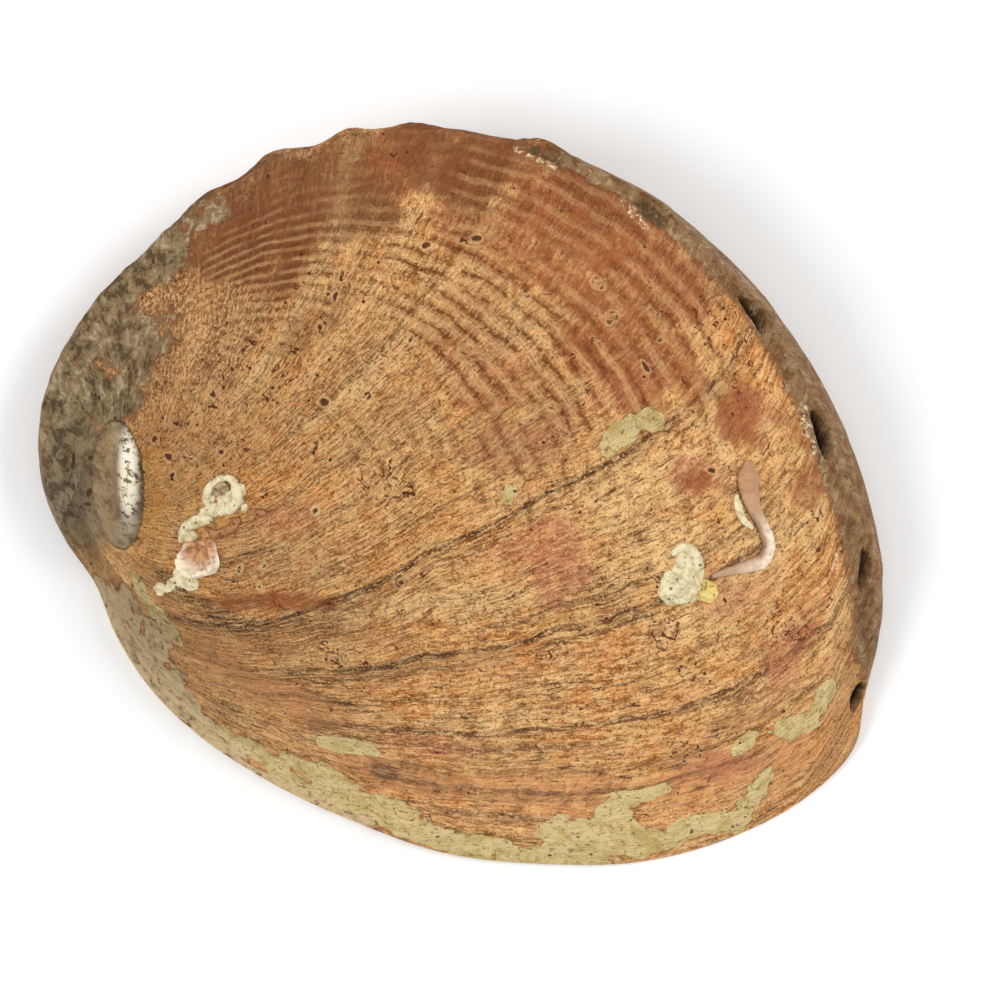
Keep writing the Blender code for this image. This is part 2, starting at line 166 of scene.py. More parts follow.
# How far a growth line lags behind its row angle, in degrees, at shares of
# the way out from the pole: for an old line, a middle one and the lip.
LAG_SHARES = (0.0, 0.15, 0.25, 0.40, 0.52, 0.66, 0.80, 0.90, 0.97, 1.0, 1.12)
LAG_OLD = (95.0, 66.0, 46.0, 28.0, 20.0, 13.0, 7.5, 3.5, 1.0, 0.0, 2.0)
LAG_MIDDLE = (120.0, 92.0, 73.0, 42.0, 26.0, 16.6, 11.0, 6.4, 2.4, 0.0, 2.0)
LAG_LIP = (100.0, 71.0, 62.0, 48.5, 39.5, 30.0, 21.7, 15.2, 9.0, 0.0, 1.0)
LAG_ANGLES = (58.5, 34.1, 4.7)

# Row angles between which the growth lines run, the angle past which the
# spiral keeps its reach, and the angle where the turn about the pole ends
FIRST_ROW, LAST_ROW = -20.0, 400.0
SPIRAL_END = 250.0
TURN_END = -100.0
HALVINGS = 32
FOLD_TONES_END = 100.0

# Edges of patches, in half widths: where each starts, and where it is full
LIME_EDGE = (1.05, 0.85)
TINT_EDGE = (1.25, 0.55)
FILLED_EDGE = (1.0, 0.8)
CHIP_EDGE = (1.1, 0.7)

# Dark growth lines: row angle, strength, first and last share of the way out
GROWTH_LINES = (
    (71, 0.35, 0.35, 1.1), (58.3, 0.65, 0.3, 1.1), (50.8, 0.35, 0.2, 0.8),
    (45.5, 0.4, 0.15, 0.9), (38.5, 0.35, 0.15, 0.95), (34.3, 1, 0.18, 1.02),
    (32.8, 0.45, 0.3, 0.75), (29, 0.3, 0.3, 1), (25.3, 0.6, 0.5, 1.1), (23.6, 0.9, 0.3, 0.98),
    (22.3, 0.55, 0.3, 0.65), (19.2, 0.5, 0.32, 0.6), (17.8, 0.3, 0.45, 0.95),
    (16.1, 0.85, 0.38, 1.1), (14.7, 0.75, 0.4, 0.8), (12.6, 0.4, 0.45, 1),
    (10.8, 0.6, 0.4, 1.05), (8.4, 0.5, 0.4, 0.8), (6.6, 0.35, 0.45, 1),
)

# Tones of the folds, partly banding and partly painted light and shade of the ridges: row
# angle, and a tone below or above an even 0.5
FOLD_TONES = (
    (36, 0.5), (41, 0.42), (46, 0.5), (49.5, 0.6), (52, 0.42), (55, 0.5), (57.6, 0.7),
    (59, 0.35), (61.5, 0.4), (63.8, 0.72), (66.5, 0.36), (69, 0.45), (71.5, 0.8), (73.5, 0.5),
    (76, 0.25), (79, 0.32), (82, 0.2), (86, 0.4), (90, 0.25),
)

# Closed holes and slits: place, half length, half width, turn, depth in mm
FILLED_HOLES = ((12.3, 64.2, 4.6, 1.9, -17, 1.3), (-11.8, 67.3, 5, 1, -6, 0.7))

# Pale chips on the rims of holes, partly chalk and partly painted light on hole walls facing
# the lamp: place, half length, half width, turn
CHIPS_AND_LIT_WALLS = (
    (9.4, 62.6, 4.4, 1, -24), (-13, 66.2, 5, 0.7, -6), (54.8, 38.4, 1, 2.6, 14),
    (56.6, 36, 1.1, 2, 20), (59, 33, 0.9, 1.6, 20), (38.6, 52.6, 0.7, 2.4, 35),
    (72, 12.6, 0.7, 2.4, 12),
)

# Patches of lime crust: plan place, half length, half width, turn in degrees
LIME_PATCHES = (
    (-6, -55.8, 7, 2, 12), (-20, -66, 12, 2.2, -14), (-8, -64.5, 10, 2.8, -4),
    (2, -66.5, 12, 3, 6), (14, -68, 14, 3, 4), (30, -67, 12, 3.4, 8), (45, -62, 10, 3.4, 16),
    (50, -52.5, 4.5, 7, 20), (43, -57.5, 6, 3, 30), (56, -54, 9, 3.6, 22),
    (52.5, -44.5, 7, 1.8, 35), (66, -47, 8, 2.6, 32), (74.5, -38, 2.2, 8, -8),
    (68, -27.5, 3.4, 1.8, 60), (76, -21, 5, 2.6, 35), (80, -13, 2, 4.5, -10),
    (21.9, 20.5, 6, 2.4, 62), (26, 25.5, 3.2, 2.2, 20), (6, 2, 1.5, 2.5, 10),
    (-50.5, -45.5, 6, 1.4, -32), (-56, -42, 4, 1.2, -42), (38, -57, 4, 1.4, 60),
)

# Tinted patches of the back: plan place, half length, half width, turn of
# the long axis in degrees, strength.
TINTS = {
    "ruddy": (
        (42.3, 33.8, 8, 5, -69, 0.95), (22.8, 51.9, 10, 6, -50, 0.75),
        (39.5, 18.2, 3, 2.4, 0, 0.85), (14.5, 38.7, 22, 13, -20, 0.65),
        (-23.9, 61.9, 20, 9, 10, 0.95), (-35, 57.7, 14, 8, 30, 0.8), (-1.9, 58, 18, 11, -15, 1),
        (14.1, 54.6, 14, 9, -30, 0.85), (-12, 47, 18, 8, 0, 0.55), (-56, 33, 16, 12, 40, 0.5),
        (57, 36, 6, 5, -50, 0.6), (62, 27, 4, 6, 0, 0.55), (-29.4, -33.5, 14, 2, 22, 0.7),
        (2, 22, 12, 8, 40, 0.4), (-16, 30, 9, 6, 60, 0.35), (70, -2, 5, 9, 0, 0.3),
    ),
    "rosy": (
        (39.1, 19.2, 6.5, 5.5, 0, 0.5), (20.8, -9.5, 7, 6, 20, 0.55), (15, -4, 10, 5, 40, 0.45),
        (3, 12, 14, 6, 40, 0.45), (-6, 24, 12, 6, 45, 0.4), (18, 30, 10, 6, 40, 0.45),
        (55, -1, 9, 5, 30, 0.4), (70, -8, 4, 10, 0, 0.45), (-34, -18, 10, 4, 30, 0.35),
        (8, -50, 14, 3, 15, 0.4), (66, -33, 10, 4, 30, 0.45), (46, 34, 7, 5, -50, 0.4),
    ),
    "brown": (
        (-57, 38, 18, 13, 45, 0.95), (-47, 46, 14, 13, 30, 0.85), (-27, 60, 16, 9, 8, 0.75),
        (-66, 28, 10, 7, 45, 0.8), (-10, 66, 16, 4, -4, 0.6), (0, 62.5, 14, 4, -10, 0.45),
        (30, 54, 10, 3, -35, 0.4), (-40, 20, 10, 5, 55, 0.35), (-14, -34, 14, 2.5, 20, 0.2),
        (66, -22, 8, 2, 30, 0.35),
    ),
    "golden": (
        (-59.5, -24, 12, 4.5, -69, 0.95), (-57, -32.5, 8, 5, -30, 0.95),
        (-50, -22, 10, 8, 0, 0.5), (-40, -18, 16, 8, 30, 0.35), (59, -14.3, 6, 1.8, 20, 0.8),
        (-32, -12, 10, 4, 40, 0.3), (37, -4, 2.5, 2, 0, 0.7),
    ),
    "pale": (
        (28.3, 12, 17, 8, 40, 0.75), (12, 3, 14, 4, 38, 0.45), (35.8, 0.3, 14, 8, 40, 0.7),
        (56.5, 8.1, 8, 12, 0, 0.6), (5, -20, 26, 4, 27, 0.75), (48.7, -7.3, 12, 6, 35, 0.6),
        (40, 30, 14, 3, -60, 0.45), (20, -40, 26, 3, 22, 0.55), (-30, 8, 16, 2, 52, 0.5),
        (-46, 12, 14, 2, 72, 0.4), (76, 4, 3, 11, 0, 0.55), (64, 20, 3.5, 14, 12, 0.6),
    ),
    "peach": (
        (-18.2, -51, 16, 3.5, 2, 0.8), (8, -57, 18, 4.5, 12, 0.8), (34, -50, 18, 6, 20, 0.75),
        (62, -36, 14, 7, 30, 0.75), (-36, -49, 12, 3, -10, 0.7), (78, -27, 8, 8, 0, 0.7),
        (10, -31, 24, 2.5, 24, 0.4), (-50, -42, 9, 2.5, -35, 0.5),
    ),
    "sooty": (
        (-35.7, -40.5, 10, 1.8, -2, 1), (-24, -37, 12, 2, 22, 0.65),
        (-15.8, -26.2, 8, 1, 40, 0.6), (-9.6, -47.6, 7.5, 0.8, 2, 0.95),
        (-16.9, -45.4, 7, 0.6, 2, 0.8), (2.7, -58.6, 3.5, 2, 0, 0.75),
        (-31.2, -59.1, 5.5, 1.8, -10, 0.65), (-10.2, -55.1, 5, 2, 0, 0.55),
        (-15.2, -57.6, 6, 1.6, 0, 0.6), (-48, -38, 9, 1.5, -12, 0.7), (34, -14, 9, 1, 38, 0.55),
        (62, -20, 9, 1, 30, 0.5),
    ),
    "olive": (
        (-59, -51, 12, 6.5, -45, 0.95), (-48, -58, 13, 6, -35, 0.95),
        (-33, -66, 15, 4, -18, 0.9), (-8, -69.5, 20, 3, -4, 0.6), (-50, -50, 6, 3, -40, 0.6),
    ),
    "mottled": (
        (-84.5, -13, 12, 8, 90, 1), (-83.5, 5, 12, 7, 75, 1), (-79.5, 19, 12, 7.5, 55, 1),
        (-70, 33, 10, 4, 45, 0.5), (-73, 4, 9, 8, 60, 0.7), (-76, -8, 8, 6, 0, 0.9),
        (-79, -30, 8, 6, -60, 0.95),
    ),
    "bored": (
        (-45, 10, 22, 10, 60, 0.55), (-50, -10, 12, 8, 0, 0.5), (36, 44, 14, 6, -45, 0.6),
        (-16.6, -4.7, 6, 4, 20, 1), (66.9, -2.3, 5.5, 4.5, 0, 1), (44.3, -11.5, 4, 4, 0, 0.95),
        (52.2, -17.4, 3.5, 3, 0, 0.9), (55.3, -32.4, 4, 3, 0, 0.9), (39.1, -2.6, 4, 2.5, 0, 1),
        (-39, 26.1, 3, 4, 0, 0.8), (66, 16, 8, 6, 60, 0.55), (-14.9, -39.6, 4, 2.5, 0, 0.9),
        (64, -12, 8, 4, 30, 0.4),
    ),
    "ribbed": (
        (-8, 32, 38, 15, -7, 1), (-50, 27, 17, 13, 40, 0.8), (-3, 58, 26, 8, -5, 0.45),
        (24, 42, 18, 12, -40, 0.65), (-22, 6, 16, 9, 40, 0.4), (10, 10, 18, 9, 20, 0.55),
    ),
    "combed": (
        (29.4, -10.4, 15, 6, 32, 1), (2.1, 12.2, 14, 7, 40, 0.85),
        (-33.3, -27.3, 14, 5, 22, 0.65), (-23, 5.6, 15, 6, 46, 0.65), (41, 18, 8, 5, 30, 0.45),
        (21.2, 21.6, 10, 4, 40, 0.5), (-10, 28, 18, 6, 50, 0.5), (-20, -42, 16, 2, 5, 0.6),
        (66, -18, 12, 3, 30, 0.6), (-44, -41, 12, 4, -15, 0.9),
    ),
    "brushed": (
        (-8, -28, 22, 5, 22, 1), (28, -25, 16, 6, 22, 1), (48, -14, 14, 6, 20, 0.8),
        (-22, -35, 14, 3, 10, 0.4), (20, -45, 26, 5, 12, 0.7), (40, -52, 24, 6, 20, 0.9),
        (-6, -58, 22, 5, 0, 0.8), (66, -8, 6, 14, 0, 0.55), (30, 8, 16, 8, 40, 0.4),
    ),
}

# Borings on the back: place, half length, half width, turn in degrees.
# First those that show as an oval outline.
LOOPS = (
    (-29.3, 33.3, 1.7, 0.8, 121), (-26.6, 17.4, 3.3, 1.3, 1), (-38.4, 13.1, 1.7, 1, 96),
    (-54.5, 0.3, 1.7, 1.2, 101), (-31.8, -2.7, 1.3, 0.7, 91), (-21.2, -3.5, 1.9, 1.5, 31),
    (-55.8, 9.9, 1.6, 0.8, 91), (-11.8, 25.9, 1.2, 1.2, 21), (24, 9.9, 2.3, 1, 71),
    (31.5, 16.7, 1.2, 0.6, 21), (33.2, 29.3, 1.2, 0.8, -19), (35.3, 28.2, 1, 0.6, 21),
    (3.3, 17.1, 1.9, 0.6, 83), (4.3, 18.3, 1.9, 0.6, 79), (7.9, 21.2, 1.3, 0.6, 1),
    (-7.3, -20.6, 1.2, 1, 21), (6.7, -38.6, 1.8, 1, 1), (-55.6, -5.7, 1, 1, 21),
    (-54.1, -14.2, 1.8, 1, -14), (42.6, 25.4, 1.2, 1.2, 21), (10, -65.7, 2.4, 0.8, 11),
    (55.3, -32.4, 2, 1, 51), (52.1, -17.8, 1.2, 1, 81), (13.8, -30.6, 1.6, 0.8, 31),
    (-15, -39.4, 1.8, 0.8, 21), (-12.5, -39.3, 1, 0.8, 51), (-16.4, -5.2, 1.5, 1, 1),
    (-15.4, -3.6, 1.1, 0.8, 61), (66.9, -2.3, 1.6, 0.8, 51), (67.9, -0.5, 1, 0.8, 1),
    (66, -4, 1, 0.6, 91), (39.1, -2.6, 1.2, 0.6, 41), (40.8, -4.4, 1, 0.6, -9),
    (12.3, 41.6, 1.2, 0.8, 81), (7.5, 47.1, 1.2, 1, 21), (44.3, -10.5, 1.2, 0.6, 61),
    (44.4, -14.3, 1.2, 0.8, 1), (-57.3, 16.7, 1.4, 0.8, 81),
)

# Dark holes and slits
PITS = (
    (-26.4, 41.7, 0.9, 0.6, 21), (-17.6, 46.5, 1, 0.7, 1), (-31.8, -2.7, 1.1, 0.4, 91),
    (-22.5, 23.7, 1.2, 0.3, 116), (-39.5, 30.5, 1.2, 0.3, 96), (-39, 26.1, 1.4, 0.4, 101),
    (-39.5, 19.6, 0.6, 0.5, 21), (-33.6, 6.3, 1, 0.7, 11), (-49.1, -9.8, 0.5, 0.5, 21),
    (-62.5, -12.4, 0.8, 0.5, 91), (-58.6, -14.7, 1, 0.6, -29), (-56.7, -17.5, 0.6, 0.6, 21),
    (-55.1, -6.9, 0.6, 0.5, 21), (7, 5.8, 0.5, 0.4, 21), (-4.5, 39.3, 0.6, 0.4, 21),
    (21.9, 35.1, 1.2, 0.4, -39), (22.8, 41.2, 0.6, 0.4, 21), (53.1, -1.6, 0.8, 0.4, -29),
    (-7.2, -20.8, 0.6, 0.5, 21), (-77.6, -22.6, 2, 0.4, 101), (-74.1, -20.5, 0.6, 0.4, 21),
    (-71.9, -27.1, 1, 0.6, 61), (-71.9, -29.5, 1, 0.4, 21), (41.2, 21.1, 0.8, 0.6, 21),
    (-54.4, 0, 0.8, 0.6, 101), (-25.4, 10, 0.6, 0.4, 41),
)

# Small holes with a pale rim of lime
RIMMED_PITS = (
    (-37.8, -30.1, 0.8, 0.4, 101), (-33.4, -27.5, 0.5, 0.4, 21), (-32.7, -31.9, 0.4, 0.4, 21),
    (-27.6, -14, 0.5, 0.5, 21),
)

# Parts of the bare spire: the knob, its dull left, a band of painted highlight, and a dark
# steel band
SPIRE_PARTS = {
    "knob": ((-67.0, -23.6, 12.6, 5.5, -69.0), 0.06),
    "polished": ((-75.0, -26.0, 14.4, 8.4, -69.0), 0.22),
    # The shine band is painted highlight along the knob's right side
    "shine": ((-65.4, -20.8, 9.0, 1.9, -71.0), 0.45),
    "steel": ((-67.3, -25.0, 6.8, 1.4, -78.0), 0.5),
}

# Worm tube, knot and cluster: places on the back in mm, with a radius each
WORM_TUBE = (
    (47.7, 24.4, 1.3), (48.2, 22.4, 2.3), (49.6, 19.6, 2.1), (51.8, 16.8, 1.4),
    (54.6, 14.4, 1.3), (57, 11.2, 1.5), (56.9, 8.2, 1.6), (54.4, 6, 1.3), (51.3, 3.8, 0.9),
    (48.9, 2, 0.5),
)
TUBE_FLAKE = ((47.6, 18.2, 0.4), (48.3, 16.6, 0.8), (50.3, 14.3, 0.8), (52.6, 13.4, 0.5))
KNOT_LOOP = (
    (39.8, 3.4, 0.7), (40.9, 4.9, 0.9), (43.2, 4.8, 1.1), (45.2, 2.4, 1.2), (46, -1.2, 1.1),
    (45, -4, 1.1), (43.2, -5.2, 0.9),
)
KNOT_ARM = ((43.2, 2.4, 0.8), (43.6, -0.6, 1.2), (42.4, -3.2, 1.1), (41.6, -4.6, 0.7))
CLUSTER_LOOP = (
    (-47.6, -20.6, 0.7), (-48.6, -18.6, 0.9), (-48.4, -16.6, 0.8), (-47.2, -14.8, 0.7),
    (-45.7, -13.9, 0.7), (-44.2, -14.2, 0.9), (-42.9, -15.6, 1.2), (-42.6, -17.6, 1.2),
    (-43.4, -19.4, 1.1),
)
CLUSTER_INNER = ((-47.6, -16.8, 0.5), (-46.4, -15.6, 0.8), (-45.2, -15.9, 0.6))
CLUSTER_TAIL = (
    (-50.9, -29, 0.6), (-50.9, -27, 1), (-50.1, -25.2, 1.2), (-48.6, -23.8, 1.3),
    (-46.8, -22.8, 1),
)
RED_TUBES = (
    (
        (-46.6, -24.9, 0.6), (-45, -25.2, 0.9), (-43.3, -24.4, 0.9), (-41.9, -22.8, 0.9),
        (-41.2, -21, 0.6),
    ),
    (
        (-39.6, -18.6, 0.5), (-38.2, -18.2, 0.9), (-36.8, -17.8, 0.5),
    ),
)
# Lumps: place, radius, height
KNOT_LUMPS = (
    (42.8, -3.2, 3.2, 1), (43.6, 0.2, 2.9, 1.2), (43, 3.2, 2.6, 0.9), (40.8, -1.4, 1.3, 0.9),
    (41.2, -4.6, 1.6, 0.8), (46.4, -3.6, 1, 1.4), (41.9, 1.7, 1, 1.3),
)
YELLOW_LUMPS = ((48.9, -1.6, 2.4, 1.1),)
CLUSTER_LUMPS = (
    (-48.6, -36, 2.3, 0.7), (-46.4, -36.4, 1.8, 0.7), (-49.8, -37.9, 1.5, 0.8),
    (-52.2, -40, 1.5, 0.7), (-50.6, -39.3, 0.9, 0.6), (-43.6, -17.4, 2.1, 1.1),
    (-44.6, -20, 1.7, 0.9), (-46.4, -20.8, 1.6, 0.8), (-47.9, -22.4, 1.5, 0.7),
    (-49.4, -27.6, 1.7, 0.6), (-40.9, -18.3, 0.9, 0.5), (-43.2, -15.8, 1.8, 0.8),
    (-45, -18.8, 1.7, 0.8), (-48.2, -19.4, 1.5, 0.6),
)
HOLLOW_LUMPS = ((-46.6, -16.9, 2.0, 0.35),)
CLUSTER_CUP = (-46.5, -30.6, 4.3, 1.7)
# Middle of the cup's rays
CUP_MIDDLE = (-46.8, -29.5)


def smooth(low, high, value):
    share = np.clip((value - low) / (high - low), 0.0, 1.0)
    return share * share * (3.0 - 2.0 * share)


def around(angles, values, at):
    """Smooth closed curve through the values at the sorted angles."""
    turn = 2.0 * math.pi
    xs = np.concatenate([angles[-2:] - turn, angles, angles[:3] + turn])
    ys = np.concatenate([values[-2:], values, values[:3]])
    at = np.mod(np.asarray(at) - angles[0], turn) + angles[0]
    k = np.clip(np.searchsorted(xs, at, side="right") - 1, 1, len(xs) - 3)
    step = xs[k + 1] - xs[k]
    t = (at - xs[k]) / step
    here = (ys[k + 1] - ys[k - 1]) / (xs[k + 1] - xs[k - 1]) * step
    there = (ys[k + 2] - ys[k]) / (xs[k + 2] - xs[k]) * step
    rise = ys[k + 1] - ys[k]
    cubic = t * t * (3.0 - 2.0 * t) * rise
    return ys[k] + cubic + t * (1 - t) ** 2 * here - t * t * (1 - t) * there


def polar(points, centre):
    """Sorted angles and distances of plan points about a centre."""
    away = points[:, :2] - np.array(centre)
    angles = np.arctan2(away[:, 1], away[:, 0])
    order = np.argsort(angles)
    return angles[order], np.hypot(away[:, 0], away[:, 1])[order], order


CREST_POINTS = np.array(CREST)
CREST_ANGLES, CREST_REACH, CREST_ORDER = polar(CREST_POINTS, SUMMIT)


def crest_reach(angle):
    return around(CREST_ANGLES, CREST_REACH, angle)


def crest_height(angle):
    return around(CREST_ANGLES, CREST_POINTS[CREST_ORDER, 2], angle)


def margin_reach(angle):
    out = around(CREST_ANGLES, CREST_POINTS[CREST_ORDER, 3], angle)
    return crest_reach(angle) + out


def hole_side(angle):
    """One along the row of holes and the spire, nought along the lip."""
    return smooth(3.0, 12.0, crest_height(angle))


def plan(reach, angle):
    x = SUMMIT[0] + reach * np.cos(angle)
    y = SUMMIT[1] + reach * np.sin(angle)
    return x, y


def dome(share, angle):
    """Smooth dome without relief: share runs from the summit to the crest."""
    foot = crest_height(angle)
    x, y = plan(crest_reach(angle) * share, angle)
    z = foot + (HEIGHT - foot) * (1.0 - share**DOME_POWER)
    return np.stack([x, y, z], -1)


def dome_normal(share, angle):
    share = np.maximum(share, 1e-3)
    along = dome(share + 1e-3, angle) - dome(share - 1e-3, angle)
    round_ = dome(share, angle + 1e-3) - dome(share, angle - 1e-3)
    normal = np.cross(along, round_)
    return normal / np.linalg.norm(normal, axis=-1, keepdims=True)


def pole_reach_table():
    """Distance from the pole to the crest, by angle in degrees."""
    angle = np.linspace(-math.pi, math.pi, 1441)
    x, y = plan(crest_reach(angle), angle)
    about = np.arctan2(y - POLE[1], x - POLE[0])
    order = np.argsort(about)
    reach = np.hypot(x - POLE[0], y - POLE[1])
    return np.degrees(about[order]), reach[order]


POLE_ANGLES, POLE_REACH = pole_reach_table()


def pole_reach(degrees):
    around_once = np.mod(degrees + 180.0, 360.0) - 180.0
    return np.interp(around_once, POLE_ANGLES, POLE_REACH, period=360.0)


def row_distance_table():
    """Millimetres along the crest from the lip's hole, by row angle."""
    angle = np.arange(FIRST_ROW, LAST_ROW + 0.5, 0.5)
    turn = np.radians(angle)
    reach = pole_reach(np.minimum(angle, SPIRAL_END))
    steps = np.hypot(np.diff(reach * np.cos(turn)), np.diff(reach * np.sin(turn)))
    along = np.concatenate([[0.0], np.cumsum(steps)])
    return angle, along - np.interp(ROW[0][0], angle, along)


ROW_ANGLES, ROW_ALONG = row_distance_table()


def row_distance(row_angle):
    return np.interp(row_angle, ROW_ANGLES, ROW_ALONG)


def lag(share, row_angle):
    """Degrees by which a growth line trails its row angle."""
    old = np.interp(share, LAG_SHARES, LAG_OLD)
    middle = np.interp(share, LAG_SHARES, LAG_MIDDLE)
    lip = np.interp(share, LAG_SHARES, LAG_LIP)
    first, second, third = LAG_ANGLES
    to_old = np.clip((row_angle - second) / (first - second), 0.0, 1.0)
    to_lip = np.clip((second - row_angle) / (second - third), 0.0, 1.0)
    return middle + (old - middle) * to_old + (lip - middle) * to_lip


def growth(x, y):
    """Row angle of the growth line through a plan point, and the share."""
    reach = np.hypot(x - POLE[0], y - POLE[1])
    about = np.degrees(np.arctan2(y - POLE[1], x - POLE[0]))
    about = np.where(about < TURN_END, about + 360.0, about)
    low = np.full_like(about, FIRST_ROW)
    high = np.full_like(about, LAST_ROW)
    for _ in range(HALVINGS):
        middle = (low + high) / 2.0
        share = reach / pole_reach(np.minimum(middle, SPIRAL_END))
        behind = middle - lag(share, middle) < about
        low = np.where(behind, middle, low)
        high = np.where(behind, high, middle)
    row_angle = (low + high) / 2.0
    return row_angle, reach / pole_reach(np.minimum(row_angle, SPIRAL_END))


def row_point(row_angle, share):
    reach = pole_reach(row_angle) * share
    turn = math.radians(row_angle)
    return POLE[0] + reach * math.cos(turn), POLE[1] + reach * math.sin(turn)


def spire_place(x, y):
    """Plan distance from the worn spire's middle, where its edge is one."""
    away_x, away_y = x - SPIRE[0], y - SPIRE[1]
    along = away_x * SPIRE_AXIS[0] + away_y * SPIRE_AXIS[1]
    across = away_y * SPIRE_AXIS[0] - away_x * SPIRE_AXIS[1]
    return np.hypot(along / SPIRE_SIZE[0], across / SPIRE_SIZE[1])


def broad_relief(x, y, row_angle, share):
    """The relief that the solid has too: knobs, folds, ledges and spire."""
    lift = np.zeros_like(x)
    for angle, reach, _, _, height in ROW:
        at_x, at_y = row_point(angle, reach)
        size = KNOB_WIDTH - 0.018 * max(angle - 45.0, 0.0)
        away = np.hypot(x - at_x, y - at_y) / size
        lift = lift + height * np.exp(-(away**2) * 1.2)
    for angle, step, width in LEDGES:
        past = np.radians(row_angle - angle) * share * pole_reach(angle)
        back = smooth(-width * 0.4, 0.0, past) * np.exp(-np.maximum(past, 0.0) / 12.0)
        lift = lift + step * back * smooth(0.10, 0.3, share) * smooth(1.05, 0.9, share)
    folds = FOLD_HEIGHT * np.cos(np.radians(row_angle - FOLD_START) * FOLDS_A_TURN)
    old = smooth(40.0, 52.0, row_angle) * smooth(120.0, 95.0, row_angle)
    lift = lift + folds * old * smooth(0.2, 0.5, share)
    lift = lift + CREST_RIDGE * np.exp(-(((share - 0.97) / 0.05) ** 2)) * old
    inside = spire_place(x, y)
    lift = lift + SPIRE_LIFT * smooth(1.15, 0.55, inside)
    return lift - SPIRE_GROOVE * np.exp(-(((inside - 1.12) / 0.14) ** 2))


def rough(points, size, seed):
    """Noise between about -1 and 1 at each point, with lumps of that size."""
    shift = Vector((seed * 17.3, seed * 5.1, seed * 9.7))
    return np.array([noise.noise(Vector(p) / size + shift) for p in points])


def ellipse(x, y, patch):
    at_x, at_y, long, wide, degrees = patch
    turn = math.radians(degrees)
    along = (x - at_x) * math.cos(turn) + (y - at_y) * math.sin(turn)
    across = (y - at_y) * math.cos(turn) - (x - at_x) * math.sin(turn)
    return np.hypot(along / long, across / wide)


def patch_cover(points, patches, edge, ragged):
    """The strongest of some oval patches at each point, with ragged edges."""
    cover = np.zeros(len(points))
    for patch in patches:
        away = ellipse(points[:, 0], points[:, 1], patch[:5]) + ragged
        strength = patch[5] if len(patch) > 5 else 1.0
        cover = np.maximum(cover, strength * smooth(*edge, away))
    return cover


def lime_cover(points):
    """One on the lime crust, nought off it."""
    ragged = 0.35 * rough(points, 5.0, 1.0) + 0.3 * rough(points, 1.8, 2.0)
    return patch_cover(points, LIME_PATCHES, LIME_EDGE, ragged)


def tint_edges(points):
    """How much the edges of the tinted patches wander."""
    return 0.45 * rough(points, 7.0, 20.0) + 0.25 * rough(points, 2.5, 21.0)


def edge_distance(points, ovals):
    """Millimetres out from the edge of each oval, as rows of an array."""
    x = points[:, 0] + 0.5 * rough(points, 1.7, 22.0)
    y = points[:, 1] + 0.5 * rough(points, 1.7, 23.0)
    distances = []
    for oval in ovals:
        away = np.maximum(ellipse(x, y, oval), 1e-3)
        distances.append(np.hypot(x - oval[0], y - oval[1]) * (1.0 - 1.0 / away))
    return np.array(distances)


def worn_cover(points):
    """One where the spire and its left side have lost the coloured layer."""
    x, y = points[:, 0], points[:, 1]
    return smooth(1.06, 0.98, spire_place(x, y) + 0.03 * rough(points, 2.0, 3.0))


def spire_cover(points, patch, soft):
    """One inside a patch of the bare spire, with a soft, uneven edge."""
    ragged = 0.25 * soft * rough(points, 2.5, 14.0)
    return patch_cover(points, [patch], (1.0 + soft, 1.0 - soft), ragged)


def filled_cover(points):
    patches = [filled[:5] for filled in FILLED_HOLES]
    return patch_cover(points, patches, FILLED_EDGE, 0.16 * rough(points, 1.4, 13.0))


# Pale chips, partly painted light on the lit walls of the holes
def chipped_and_lit_cover(points):
    return patch_cover(points, CHIPS_AND_LIT_WALLS, CHIP_EDGE, 0.5 * rough(points, 1.3, 15.0))


def painted_hole_shade_cover(points):
    """Painted shade down in the open holes: one there, nought outside them."""
    cover = np.zeros(len(points))
    for row_angle, share, length, width, _ in ROW:
        if not width:
            continue
        place, axis, along, across = (np.array(v) for v in hole_frame(row_angle, share))
        away = points - place
        off_axis = np.hypot(away @ along / (length / 2.0), away @ across / (width / 2.0))
        deep = smooth(0.2, -1.2, away @ axis)
        cover = np.maximum(cover, deep * smooth(1.35, 1.12, off_axis))
    return cover


def fine_relief(points, row_angle, share, worn, lime):
    """Cords, growth ripples, lumps and crust, in millimetres."""
    along = row_distance(row_angle)
    field = np.stack([along / 3.2, share * 3.0, np.zeros_like(share)], -1)
    ripples = 0.30 * rough(field, 1.0, 4.0)
    ripples = ripples + 0.18 * rough(field * [2.6, 1.6, 1.0], 1.0, 5.0)
    cords = np.cos(2.0 * math.pi * (share * CORDS + 0.25 * rough(points, 12.0, 6.0)))
    ribbed = patch_cover(points, TINTS["ribbed"], TINT_EDGE, tint_edges(points))
    uneven = 0.8 + 0.5 * rough(points, 9.0, 7.0)
    cord_height = (0.06 + 0.15 * ribbed) * smooth(0.25, 0.5, share) * uneven
    lumps = 0.45 * rough(points, 12.0, 8.0) + 0.20 * rough(points, 4.0, 9.0)
    lift = ripples * smooth(0.08, 0.3, share) + cords * cord_height + lumps
    wander = 0.6 * rough(points, 6.0, 10.0)
    for angle, strength, first, last in GROWTH_LINES:
        past = np.radians(row_angle - angle) * share * pole_reach(angle) + wander
        length = smooth(first, first + 0.12, share) * smooth(last, last - 0.12, share)
        step = 0.45 * smooth(-0.6, 0.4, past) * np.exp(-np.maximum(past, 0.0) / 3.0)
        lift = lift + strength * length * (step - 0.30 * np.exp(-((past / 0.7) ** 2)))
    for filled in FILLED_HOLES:
        away = ellipse(points[:, 0], points[:, 1], filled[:5])
        lift = lift - filled[5] * smooth(1.05, 0.7, away + 0.12 * rough(points, 1.6, 13.0))
    lift = lift * (1.0 - 0.85 * worn)
    lift = lift - 0.35 * worn
    return lift + lime * (0.35 + 0.18 * rough(points, 1.4, 11.0))


